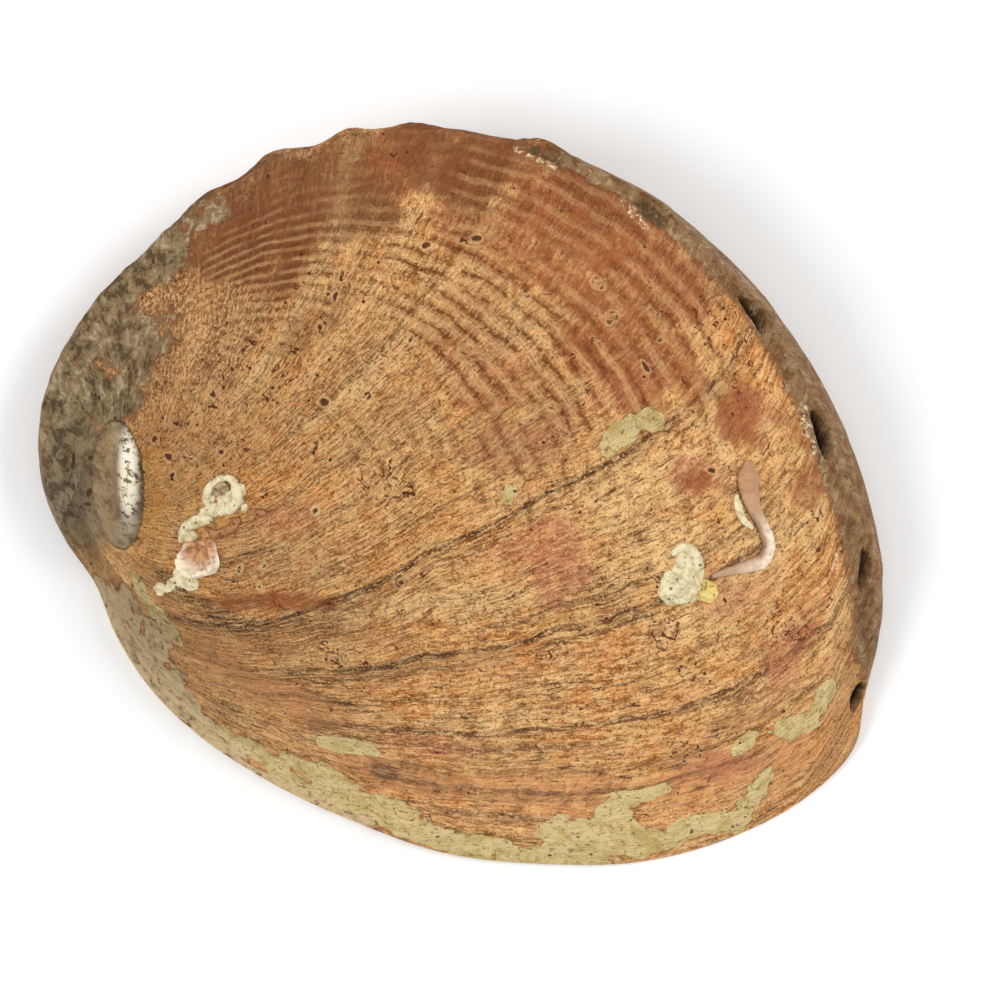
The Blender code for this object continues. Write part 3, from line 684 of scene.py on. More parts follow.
def hex_disc(rings):
    """Even triangles over a disc: ring k has 6k points."""
    shares = [0.0]
    angles = [0.0]
    faces = []
    start = 0
    for ring in range(1, rings + 1):
        before, first = start, len(shares)
        count = 6 * ring
        shares.extend([ring / rings] * count)
        angles.extend([2.0 * math.pi * i / count for i in range(count)])
        inner = max(6 * (ring - 1), 1)
        for side in range(6):
            for j in range(ring):
                a = first + side * ring + j
                b = first + (side * ring + j + 1) % count
                c = before + (side * (ring - 1) + j) % inner
                faces.append((c, a, b))
                if j < ring - 1:
                    d = before + (side * (ring - 1) + j + 1) % inner
                    faces.append((c, b, d))
        start = first
    return np.array(shares), np.array(angles), faces, start


def spread(share):
    """Rings move out a little, so that the steep foot gets more of them."""
    return share + 0.2 * share * (1.0 - share)


def outer_wall(angle, step):
    """Ring of the wall below the crest: step runs from crest to margin."""
    crest = dome(np.ones_like(angle), angle)
    top, reach, foot = crest[:, 2], crest_reach(angle), margin_reach(angle)
    bulge = WALL_BULGE * hole_side(angle) * np.sin(math.pi * step)
    x, y = plan(reach + (foot - reach) * step**0.8 + bulge, angle)
    return np.stack([x, y, top * (1.0 - step)], -1)


def inner_dome(share, angle):
    """Underside of the dome, one wall thickness inside it."""
    thick = LIP_WALL + (WALL - LIP_WALL) * hole_side(angle) * share
    thick = thick + 1.6 * (1.0 - share) ** 2
    under = dome(share, angle) - dome_normal(share, angle) * thick[:, None]
    under[:, 2] = np.maximum(under[:, 2], LIP_CLEAR)
    return under


def inner_wall(angle, step):
    """Ring from the underside of the dome, over the ledge, to the landing."""
    start = inner_dome(np.ones_like(angle), angle)
    start_reach = np.hypot(start[:, 0] - SUMMIT[0], start[:, 1] - SUMMIT[1])
    margin = margin_reach(angle)
    side = hole_side(angle)
    edge = margin - LANDING * (1.0 + side)
    straight_reach = start_reach + (edge - start_reach) * step
    straight_height = start[:, 2] * (1.0 - step)
    round_spire = np.mod(angle - HOOK_ANGLE + math.pi, 2.0 * math.pi) - math.pi
    hook = np.exp(-((round_spire / HOOK_SPREAD) ** 2))
    tip = margin - LEDGE_WIDTH - HOOK_WIDTH * hook
    shelf = [margin - inset for inset in LEDGE_INSETS]
    reaches = (start_reach, *shelf, tip, tip + LEDGE_TIP, edge)
    top = start[:, 2]
    high, middle, low = (top * share for share in LEDGE_HEIGHTS)
    heights = (top, high, middle, low + LEDGE_TIP_RISE, LEDGE_DROP, 0 * top)
    k = int(np.searchsorted(LEDGE_STEPS, step, side="right")) - 1
    k = min(k, len(LEDGE_STEPS) - 2)
    t = (step - LEDGE_STEPS[k]) / (LEDGE_STEPS[k + 1] - LEDGE_STEPS[k])
    ledge_reach = reaches[k] + (reaches[k + 1] - reaches[k]) * t
    ledge_height = heights[k] + (heights[k + 1] - heights[k]) * t
    reach = straight_reach + (ledge_reach - straight_reach) * side
    height = straight_height + (ledge_height - straight_height) * side
    x, y = plan(reach, angle)
    return np.stack([x, y, np.maximum(height, 0.0)], -1)


def outer_lift(points, shares, angles):
    """All the relief of the back at points of the smooth dome."""
    row_angle, share = growth(points[:, 0], points[:, 1])
    broad = broad_relief(points[:, 0], points[:, 1], row_angle, share)
    fine = fine_relief(points, row_angle, share, worn_cover(points), lime_cover(points))
    lip_edge = smooth(0.94, 1.0, shares) * (1.0 - hole_side(angles))
    return (broad + fine) * (1.0 - lip_edge)


def scar_cover(points):
    """The rough scar that the animal's muscle left in the hollow."""
    away = ellipse(points[:, 0], points[:, 1], SCAR) + 0.30 * rough(points, 9.0, 30.0)
    return smooth(1.05, 0.85, away + 0.10 * rough(points, 2.5, 31.0))


def hollow_roof(shares, angles):
    """Underside of the dome with its ripples and the muscle's scar."""
    points = inner_dome(shares, angles)
    fade = smooth(1.0, 0.85, shares)
    row_angle, share = growth(points[:, 0], points[:, 1])
    field = np.stack([row_distance(row_angle) / 7.0, share * 3.0, np.zeros_like(share)], -1)
    ripples = 0.5 * rough(field, 1.0, 32.0) + 0.15 * rough(points, 3.0, 33.0)
    wrinkles = 0.5 * rough(points * [0.5, 1.0, 1.0], 2.2, 34.0) * scar_cover(points)
    points[:, 2] += (ripples * 0.5 + wrinkles * 0.5 - 0.2 * scar_cover(points)) * fade
    return points


def join_rings(faces, first, second, count):
    """Quads from one ring of count points to the next."""
    for i in range(count):
        j = (i + 1) % count
        faces.append((first + i, second + i, second + j, first + j))


def shell_mesh():
    """Closed shell: dome, outer wall, landing, ledge and hollow.

    The faces up to the returned number are the weathered outside.
    """
    shares, angles, faces, last = hex_disc(DOME_RINGS)
    shares = spread(shares)
    base = dome(shares, angles)
    lift = outer_lift(base, shares, angles)
    points = [base + dome_normal(shares, angles) * lift[:, None]]
    count = 6 * DOME_RINGS
    turn = angles[last:]
    total = len(shares)
    ring_start = last
    out = points[0][last:] - base[last:]
    for k in range(1, OUTER_WALL_RINGS + 1):
        step = k / OUTER_WALL_RINGS
        ring = outer_wall(turn, step) + out * (1.0 - step) ** 2
        bumps = 0.30 * rough(ring, 5.0, 12.0) * smooth(1.0, 0.8, step) * hole_side(turn)
        ring[:, 0] += bumps * np.cos(turn)
        ring[:, 1] += bumps * np.sin(turn)
        points.append(ring)
        join_rings(faces, ring_start, total, count)
        ring_start = total
        total += count
    in_shares, in_angles, in_faces, in_last = hex_disc(HOLLOW_RINGS)
    in_shares = spread(in_shares)
    in_count = 6 * HOLLOW_RINGS
    in_turn = in_angles[in_last:]
    # The flat landing joins the margin to a ring with half as many points.
    points.append(inner_wall(in_turn, 1.0))
    for i in range(in_count):
        a, b, c = 2 * i, 2 * i + 1, (2 * i + 2) % count
        j = (i + 1) % in_count
        faces.append((ring_start + a, total + i, ring_start + b))
        faces.append((ring_start + b, total + i, total + j))
        faces.append((ring_start + b, total + j, ring_start + c))
    ring_start = total
    total += in_count
    outside = len(faces)
    for step in INNER_WALL_STEPS:
        points.append(inner_wall(in_turn, step))
        join_rings(faces, ring_start, total, in_count)
        ring_start = total
        total += in_count
    points.append(hollow_roof(in_shares, in_angles))
    join_rings(faces, ring_start, total + in_last, in_count)
    faces.extend(tuple(total + v for v in reversed(face)) for face in in_faces)
    return np.concatenate(points), faces, outside


def new_object(name, points, faces):
    mesh = bpy.data.meshes.new(name)
    mesh.from_pydata([tuple(p) for p in np.asarray(points) * MM], [], faces)
    shaped = bmesh.new()
    shaped.from_mesh(mesh)
    bmesh.ops.recalc_face_normals(shaped, faces=shaped.faces)
    shaped.to_mesh(mesh)
    shaped.free()
    mesh.shade_smooth()
    made = bpy.data.objects.new(name, mesh)
    bpy.context.scene.collection.objects.link(made)
    return made


def hole_frame(row_angle, share):
    """Centre of a hole on the smooth dome, its axis, and two directions."""
    x, y = row_point(row_angle, share)
    angle = np.array([math.atan2(y - SUMMIT[1], x - SUMMIT[0])])
    out = np.hypot(x - SUMMIT[0], y - SUMMIT[1]) / crest_reach(angle)
    place = Vector(dome(out, angle)[0])
    axis = Vector(dome_normal(out, angle)[0])
    outward = Vector((math.cos(angle[0]), math.sin(angle[0]), 0.0))
    axis = (axis + outward * math.tan(HOLE_TILT)).normalized()
    before = Vector((*row_point(row_angle - 1.0, share), 0.0))
    after = Vector((*row_point(row_angle + 1.0, share), 0.0))
    along = after - before
    along = (along - axis * along.dot(axis)).normalized()
    return place, axis, along, axis.cross(along)


def hole_cutter():
    """One object with a ragged, flared prism through each open hole."""
    points, faces = [], []
    for number, (row_angle, share, length, width, _) in enumerate(ROW):
        if not width:
            continue
        place, axis, along, across = hole_frame(row_angle, share)
        first = len(points)
        for depth, flare in HOLE_LEVELS:
            for side in range(HOLE_SIDES):
                turn = 2.0 * math.pi * side / HOLE_SIDES
                ragged = noise.noise(Vector((math.cos(turn), math.sin(turn), number)) * 1.8)
                scale = flare * (1.0 + 0.16 * ragged)
                offset = along * math.cos(turn) * length / 2.0 * scale
                offset = offset + across * math.sin(turn) * width / 2.0 * scale
                points.append(tuple(place + axis * depth + offset))
        faces.append(tuple(first + i for i in reversed(range(HOLE_SIDES))))
        top = first + (len(HOLE_LEVELS) - 1) * HOLE_SIDES
        faces.append(tuple(top + i for i in range(HOLE_SIDES)))
        for level in range(len(HOLE_LEVELS) - 1):
            a, b = first + level * HOLE_SIDES, first + (level + 1) * HOLE_SIDES
            for i in range(HOLE_SIDES):
                j = (i + 1) % HOLE_SIDES
                faces.append((a + i, a + j, b + j, b + i))
    return new_object("hole_cuts", np.array(points), faces)


def cut_holes(shell):
    cutter = hole_cutter()
    cutting = shell.modifiers.new("holes", "BOOLEAN")
    cutting.operation = "DIFFERENCE"
    cutting.solver = "EXACT"
    cutting.object = cutter
    bpy.context.view_layer.update()
    graph = bpy.context.evaluated_depsgraph_get()
    cut = bpy.data.meshes.new_from_object(shell.evaluated_get(graph))
    shell.modifiers.clear()
    shell.data = cut
    bpy.data.objects.remove(cutter)


def set_values(obj, name, values):
    layer = obj.data.attributes.new(name, "FLOAT", "POINT")
    layer.data.foreach_set("value", np.asarray(values, np.float32))


def places_of(obj):
    points = np.empty(len(obj.data.vertices) * 3, np.float32)
    obj.data.vertices.foreach_get("co", points)
    return points.reshape(-1, 3).astype(float) / MM


def shell_values(shell):
    """What the materials need to know of each point of the shell."""
    points = places_of(shell)
    x, y, z = points.T
    row_angle, share = growth(x, y)
    about = np.arctan2(y - SUMMIT[1], x - SUMMIT[0])
    reach = np.hypot(x - SUMMIT[0], y - SUMMIT[1]) / crest_reach(about)
    strip = smooth(0.975, 0.995, share) * smooth(62.0, 48.0, row_angle) * 0.9
    below = smooth(-0.5, -2.0, z - crest_height(about))
    wall = np.maximum(smooth(0.985, 1.0, reach) * below, strip)
    set_values(shell, "row_mm", row_distance(row_angle))
    set_values(shell, "share", share)
    set_values(shell, "wall", wall * hole_side(about))
    set_values(shell, "lime", lime_cover(points))
    for name, (patch, soft) in SPIRE_PARTS.items():
        set_values(shell, name, spire_cover(points, patch, soft))
    set_values(shell, "filled", filled_cover(points))
    set_values(shell, "chipped", chipped_and_lit_cover(points))
    # Painted shade down in the open holes
    set_values(shell, "hole", painted_hole_shade_cover(points))
    set_values(shell, "scar", scar_cover(points))
    edge = margin_reach(about) - np.hypot(x - SUMMIT[0], y - SUMMIT[1])
    rim = smooth(5.5, 3.5, edge) * (1.0 - hole_side(about)) + smooth(2.6, 1.8, edge)
    set_values(shell, "lip_edge", rim * smooth(5.0, 3.0, z))
    set_values(shell, "outline_mm", np.abs(edge_distance(points, LOOPS)).min(0))
    set_values(shell, "pit_mm", edge_distance(points, PITS).min(0))
    set_values(shell, "rimmed_mm", edge_distance(points, RIMMED_PITS).min(0))
    ragged = tint_edges(points)
    for name, patches in TINTS.items():
        set_values(shell, name, patch_cover(points, patches, TINT_EDGE, ragged))


def rgb(red, green, blue):
    """Linear colour of a display colour from 0 to 255."""
    share = [c / 255.0 for c in (red, green, blue)]
    linear = [c / 12.92 if c < 0.04045 else ((c + 0.055) / 1.055) ** 2.4 for c in share]
    return (*linear, 1.0)


class Value:
    """A number that varies over a surface: the socket that gives it."""

    def __init__(self, shader, socket):
        self.shader = shader
        self.socket = socket

    def __add__(self, other):
        return self.shader.math("ADD", self, other)

    def __sub__(self, other):
        return self.shader.math("SUBTRACT", self, other)

    def __rsub__(self, other):
        return self.shader.math("SUBTRACT", other, self)

    def __mul__(self, other):
        return self.shader.math("MULTIPLY", self, other)

    def __truediv__(self, other):
        return self.shader.math("DIVIDE", self, other)

    __radd__ = __add__
    __rmul__ = __mul__


class Shader:
    """A material and the nodes that feed its surface."""

    def __init__(self, name, roughness, specular, coat=0.0):
        self.material = bpy.data.materials.new(name)
        self.material.use_nodes = True
        self.tree = self.material.node_tree
        self.surface = self.tree.nodes["Principled BSDF"]
        self.surface.inputs["Roughness"].default_value = roughness
        self.surface.inputs["Specular IOR Level"].default_value = specular
        self.surface.inputs["Coat Weight"].default_value = coat
        self.surface.inputs["Coat Roughness"].default_value = 0.15
        place = self.node("ShaderNodeTexCoord", {}, {}, "Object")
        self.place = self.vector("SCALE", place, Scale=1.0 / MM)

    def node(self, kind, settings, inputs, output=0):
        made = self.tree.nodes.new(kind)
        for key, value in settings.items():
            if key == "stops":
                self.set_stops(made.color_ramp, value)
            else:
                setattr(made, key, value)
        for key, value in inputs.items():
            self.feed(made.inputs[key], value)
        return Value(self, made.outputs[output])

    def set_stops(self, ramp, stops):
        for place, _ in stops[2:]:
            ramp.elements.new(place)
        for element, (place, colour) in zip(ramp.elements, sorted(stops)):
            element.position = place
            element.color = colour

    def feed(self, socket, value):
        if isinstance(value, Value):
            self.tree.links.new(value.socket, socket)
        else:
            socket.default_value = value

    def set(self, name, value):
        self.feed(self.surface.inputs[name], value)

    def math(self, operation, *values):
        return self.node("ShaderNodeMath", {"operation": operation}, dict(enumerate(values)))

    def vector(self, operation, *values, output=0, **named):
        inputs = {**dict(enumerate(values)), **named}
        return self.node("ShaderNodeVectorMath", {"operation": operation}, inputs, output)

    def mix(self, share, first, second):
        settings = {"data_type": "RGBA", "clamp_factor": True}
        return self.node("ShaderNodeMix", settings, {0: share, 6: first, 7: second}, 2)

    def read(self, name):
        return self.node("ShaderNodeAttribute", {"attribute_name": name}, {}, "Fac")

    def join(self, x, y, z=0.0):
        return self.node("ShaderNodeCombineXYZ", {}, {0: x, 1: y, 2: z})

    def noise(self, place, size, detail=2.0, rough=0.5, twist=0.0, space="3D"):
        """Noise around 0.5 with lumps of that size in the place's unit."""
        inputs = {"Vector": place, "Scale": 1.0 / size, "Detail": detail}
        inputs.update({"Roughness": rough, "Distortion": twist})
        return self.node("ShaderNodeTexNoise", {"noise_dimensions": space}, inputs)

    def cells(self, place, size):
        """Distance from the middle of the nearest of scattered cells."""
        inputs = {"Vector": place, "Scale": 1.0 / size}
        return self.node("ShaderNodeTexVoronoi", {"feature": "F1"}, inputs, "Distance")

    def step(self, value, low, high):
        """Nought below low and one above high, smooth between them."""
        settings = {"interpolation_type": "SMOOTHSTEP"}
        return self.node("ShaderNodeMapRange", settings, {0: value, 1: low, 2: high})

    def either(self, *values):
        """The highest of the values."""
        top = values[0]
        for value in values[1:]:
            top = self.math("MAXIMUM", top, value)
        return top

    def bump(self, height):
        """Normal of a surface raised by the height in millimetres."""
        inputs = {"Height": height, "Distance": MM, "Strength": 1.0}
        self.set("Normal", self.node("ShaderNodeBump", {}, inputs))


# Looks of the shell's back
ORANGE = rgb(212, 136, 64)
TAN = rgb(222, 166, 100)
RED_BROWN = rgb(150, 78, 38)
DARK_BROWN = rgb(112, 62, 32)
STAIN = rgb(146, 90, 42)
ROSE = rgb(184, 110, 78)
GOLD = rgb(230, 154, 62)
PALE_TAN = rgb(230, 190, 130)
PEACH = rgb(214, 146, 92)
SOOT = rgb(62, 40, 24)
OLIVE = rgb(212, 184, 138)
OLIVE_DARK = rgb(130, 96, 52)
LIME = rgb(216, 194, 138)
LIME_GREEN = rgb(194, 170, 104)
GREY = rgb(142, 118, 84)
GREY_DARK = rgb(88, 68, 42)
GREY_PALE = rgb(184, 164, 128)
LINE = rgb(52, 26, 10)
PIT = rgb(78, 30, 14)
STREAK = rgb(114, 62, 24)
CRACK = rgb(84, 42, 14)
STREAK_PALE = rgb(240, 194, 132)
CHALK_AND_LIT_WALL = rgb(228, 210, 170)
RIM = rgb(222, 190, 134)
# Painted shade in the open holes
PAINTED_HOLE_SHADE = rgb(34, 24, 14)
KNOB_DARK = rgb(72, 58, 36)
KNOB_DULL = rgb(128, 110, 80)
KNOB_LIGHT = rgb(138, 122, 92)
# Painted highlight of the knob
KNOB_PAINTED_HIGHLIGHT = rgb(216, 204, 184)
KNOB_STEEL = rgb(78, 72, 68)
TUBE_TOP = rgb(172, 126, 90)
TUBE_MIDDLE = rgb(180, 146, 116)
# Painted highlight and painted shade of the worm tube; the shade colour also darkens its growth
# rings
TUBE_HIGHLIGHT = rgb(232, 214, 190)
TUBE_SHADE_AND_RINGS = rgb(126, 98, 76)
CUP_BROWN = rgb(146, 100, 72)
CUP_ORANGE = rgb(198, 142, 88)
CUP_LILAC = rgb(200, 166, 140)
CUP_RIM = rgb(224, 208, 182)
SCAR_OLIVE = rgb(168, 160, 118)
SCAR_GREEN = rgb(150, 190, 176)
LIP_BROWN = rgb(142, 90, 52)
LIP_TAN = rgb(190, 140, 92)

# Limes: main colour, stains, and specks with open bubbles; roughness
LIMES = {
    "cream_lime": (rgb(216, 204, 168), rgb(180, 162, 118), rgb(104, 84, 48), 0.6),
    "yellow_lime": (rgb(216, 190, 100), rgb(222, 204, 152), rgb(180, 150, 80), 0.6),
    "red_tube": (rgb(160, 108, 66), rgb(118, 70, 40), rgb(82, 46, 26), 0.5),
    "grey_lime": (rgb(164, 142, 108), rgb(108, 84, 56), rgb(76, 54, 32), 0.6),
}

# Mother of pearl: share of one round through its colours, and the colour
PEARL = (
    (0.00, rgb(188, 182, 172)),
    (0.18, rgb(200, 170, 168)),
    (0.36, rgb(182, 176, 186)),
    (0.54, rgb(154, 176, 184)),
    (0.70, rgb(160, 186, 170)),
    (0.86, rgb(190, 188, 164)),
    (1.00, rgb(188, 182, 172)),
)

# Tints of the back, from the lightest to those laid on a second time
TINT_COLOURS = (
    ("pale", PALE_TAN),
    ("peach", PEACH),
    ("golden", GOLD),
    ("rosy", ROSE),
    ("ruddy", RED_BROWN),
    ("brown", DARK_BROWN),
)
DARK_TINTS = 3


def fold_stops():
    reach = row_distance(FOLD_TONES_END)
    return [(row_distance(at) / reach, (tone, tone, tone, 1.0)) for at, tone in FOLD_TONES]


def line_mask(s, row, share, streak):
    """One on the dark growth lines, with a ragged dark band on the lip's side, partly stain and
    partly painted shadow below the growth step.
    """
    total = None
    for angle, strength, first, last in GROWTH_LINES:
        past = (row - row_distance(angle)) * share
        core = s.step(s.math("ABSOLUTE", past), 0.80, 0.20)
        # Dark band on the lip's side: partly stain, partly painted shadow below the step
        stain = s.step(past, -2.8, -0.1) * s.step(past, 0.25, 0.0)
        line = s.math("MAXIMUM", core, stain * (streak * 0.65 + 0.25))
        length = s.step(share, first, first + 0.1) * s.step(share, last, last - 0.1)
        line = line * length * strength
        total = line if total is None else s.math("MAXIMUM", total, line)
    return total


def along(s, field, across, round_, detail=3.0, rough=0.6):
    """Noise stretched to the growth: its steps per mm of row and of share."""
    stretched = s.vector("MULTIPLY", field, (across, round_, 1.0))
    return s.noise(stretched, 1.0, detail, rough, space="2D")


def ragged_lines(s, field, across, round_):
    """Distance from thin lines, where a stretched noise crosses its middle."""
    return s.math("ABSOLUTE", along(s, field, across, round_, 2.0) - 0.5)


def broad_colour(s, row, share, field, tints):
    """Colours of the outer layer, laid down in plates that follow growth."""
    place = s.place
    plates = along(s, field, 0.22, 0.06)
    colour = s.mix(s.step(s.noise(place, 20.0, 2.0), 0.40, 0.60), TAN, ORANGE)
    colour = s.mix(s.step(plates, 0.48, 0.56) * 0.6, colour, PEACH)
    colour = s.mix(s.step(plates, 0.45, 0.37) * 0.5, colour, STAIN)
    blotch = s.noise(place, 5.0, 3.0, 0.65)
    colour = s.mix(s.step(blotch, 0.52, 0.66) * 0.45, colour, RED_BROWN)
    colour = s.mix(s.step(blotch, 0.46, 0.34) * 0.45, colour, PALE_TAN)
    for cover, tint in tints:
        colour = s.mix(cover * 0.75, colour, tint)
    # Fold tones: paler on the fold ridges and darker in the troughs, partly banding and partly
    # painted light and shade
    down = row / row_distance(FOLD_TONES_END)
    tone = s.node("ShaderNodeValToRGB", {"stops": fold_stops()}, {0: down})
    folded = s.step(share, 0.25, 0.5)
    colour = s.mix(s.step(tone, 0.5, 0.85) * folded * 0.75, colour, PALE_TAN)
    return s.mix(s.step(tone, 0.5, 0.15) * folded * 0.90, colour, DARK_BROWN)


def growth_cracks(s, field, hair, beads):
    """Thin cracks along the growth, faint ones along the cords, and pale edges beside them that
    are painted highlight.
    """
    crack = ragged_lines(s, field, 0.50, 0.10)
    thread = ragged_lines(s, field, 1.30, 0.30)
    cross = ragged_lines(s, field, 0.16, 1.20)
    cracked = s.step(s.noise(s.place, 6.0, 2.0, 0.6), 0.46, 0.58)
    threaded = hair * 0.9 + 0.1
    # Pale bands beside the threads and cracks: painted highlight
    beside = s.step(thread, 0.085, 0.045) * threaded
    edges = s.either(s.step(crack, 0.060, 0.030) * cracked, beside)
    across = s.step(cross, 0.030, 0.008) * s.step(beads, 0.42, 0.58)
    thread = s.step(thread, 0.040, 0.012) * threaded
    cracks = s.either(s.step(crack, 0.024, 0.006) * cracked, thread * 0.8, across * 0.65)
    return cracks, edges


def film_look(s, speck, mottle, dark_streak):
    """Olive film with grey patches and dark dots."""
    film = s.mix(s.step(mottle, 0.50, 0.60) * 0.4, OLIVE, GREY)
    dotted = s.step(speck + mottle * 0.4 + dark_streak * 0.10, 0.78, 0.90)
    return s.mix(dotted * 0.85, film, OLIVE_DARK)


def margin_look(s, speck, smear, wall):
    """Mottled grey of the margin, browner on the wall below the holes."""
    grey = s.mix(s.step(smear, 0.38, 0.52), GREY_DARK, GREY)
    grey = s.mix(s.step(smear, 0.54, 0.66) * 0.9, grey, GREY_PALE)
    grey = s.mix(s.step(speck, 0.60, 0.66) * 0.6, grey, GREY_DARK)
    return s.mix(wall * 0.42, grey, STAIN)


def crust_look(s, speck, mottle):
    """Lime crust, greenish in places, with dark pores."""
    crust = s.mix(s.step(mottle, 0.45, 0.62), LIME, LIME_GREEN)
    return s.mix(s.step(speck, 0.54, 0.66) * 0.75, crust, OLIVE_DARK)


def dull_look(s, speck, mottle, pitted):
    """The spire's left side, worn dull."""
    dull = s.mix(s.step(mottle + (speck - 0.5) * 0.4, 0.40, 0.56), KNOB_DARK, KNOB_DULL)
    return s.mix(pitted * 0.85, dull, GREY_DARK)


def knob_look(s, speck, pitted):
    """The spire's knob of worn mother of pearl, with a band of painted highlight and a dark
    band.
    """
    polish = s.noise(s.place, 5.0, 3.0, 0.55, 0.4)
    nacre = s.mix(s.step(polish, 0.36, 0.60), KNOB_DARK, KNOB_LIGHT)
    nacre = s.mix(s.read("steel") * 0.8, nacre, KNOB_STEEL)
    # Painted highlight along the knob's right side
    nacre = s.mix(s.read("shine") * s.step(speck, 0.60, 0.50), nacre, KNOB_PAINTED_HIGHLIGHT)
    return s.mix(pitted * 0.7, nacre, GREY_DARK)


def borings(s, speck, smooth_part):
    """Masks of the dark borings, of pale rims, of painted highlight round the borings, and of
    sunken places.
    """
    place, bored = s.place, s.read("bored")
    pit_mm, outline_mm, rimmed_mm = s.read("pit_mm"), s.read("outline_mm"), s.read("rimmed_mm")
    wind = s.math("ABSOLUTE", s.noise(place, 3.0, 1.0, 0.5, 0.9) - 0.5)
    crowded = s.step(s.noise(place, 3.0, 2.0) + bored * 0.17, 0.61, 0.66)
    channel = s.step(wind, 0.030, 0.012) * crowded * (1.0 - smooth_part)
    pit = s.step(s.cells(place, 2.8) + (speck - 0.5) * 0.2, 0.15, 0.10)
    pit = pit * s.step(s.noise(place, 5.0, 1.0) + bored * 0.20, 0.57, 0.64)
    uneven = (speck - 0.5) * 0.9
    outline = s.step(outline_mm + uneven, 0.34, 0.12)
    outline = outline * s.step(s.noise(place, 2.2, 1.0), 0.42, 0.52) * 0.85
    rimmed = rimmed_mm + uneven * 0.5
    rim = s.step(rimmed, 0.62, 0.40)
    marks = s.either(s.step(pit_mm + uneven * 0.6, 0.05, -0.15), s.step(rimmed, 0.10, -0.15))
    # Painted highlight round the pits and outlines
    painted_halo = s.step(s.either(0.4 - pit_mm, 0.5 - outline_mm) + uneven, -0.3, 0.1)
    sunk = s.either(s.step(pit_mm, 0.10, -0.15), s.step(rimmed_mm, 0.15, -0.15))
    return s.either(channel, outline, marks, pit), rim, painted_halo, sunk


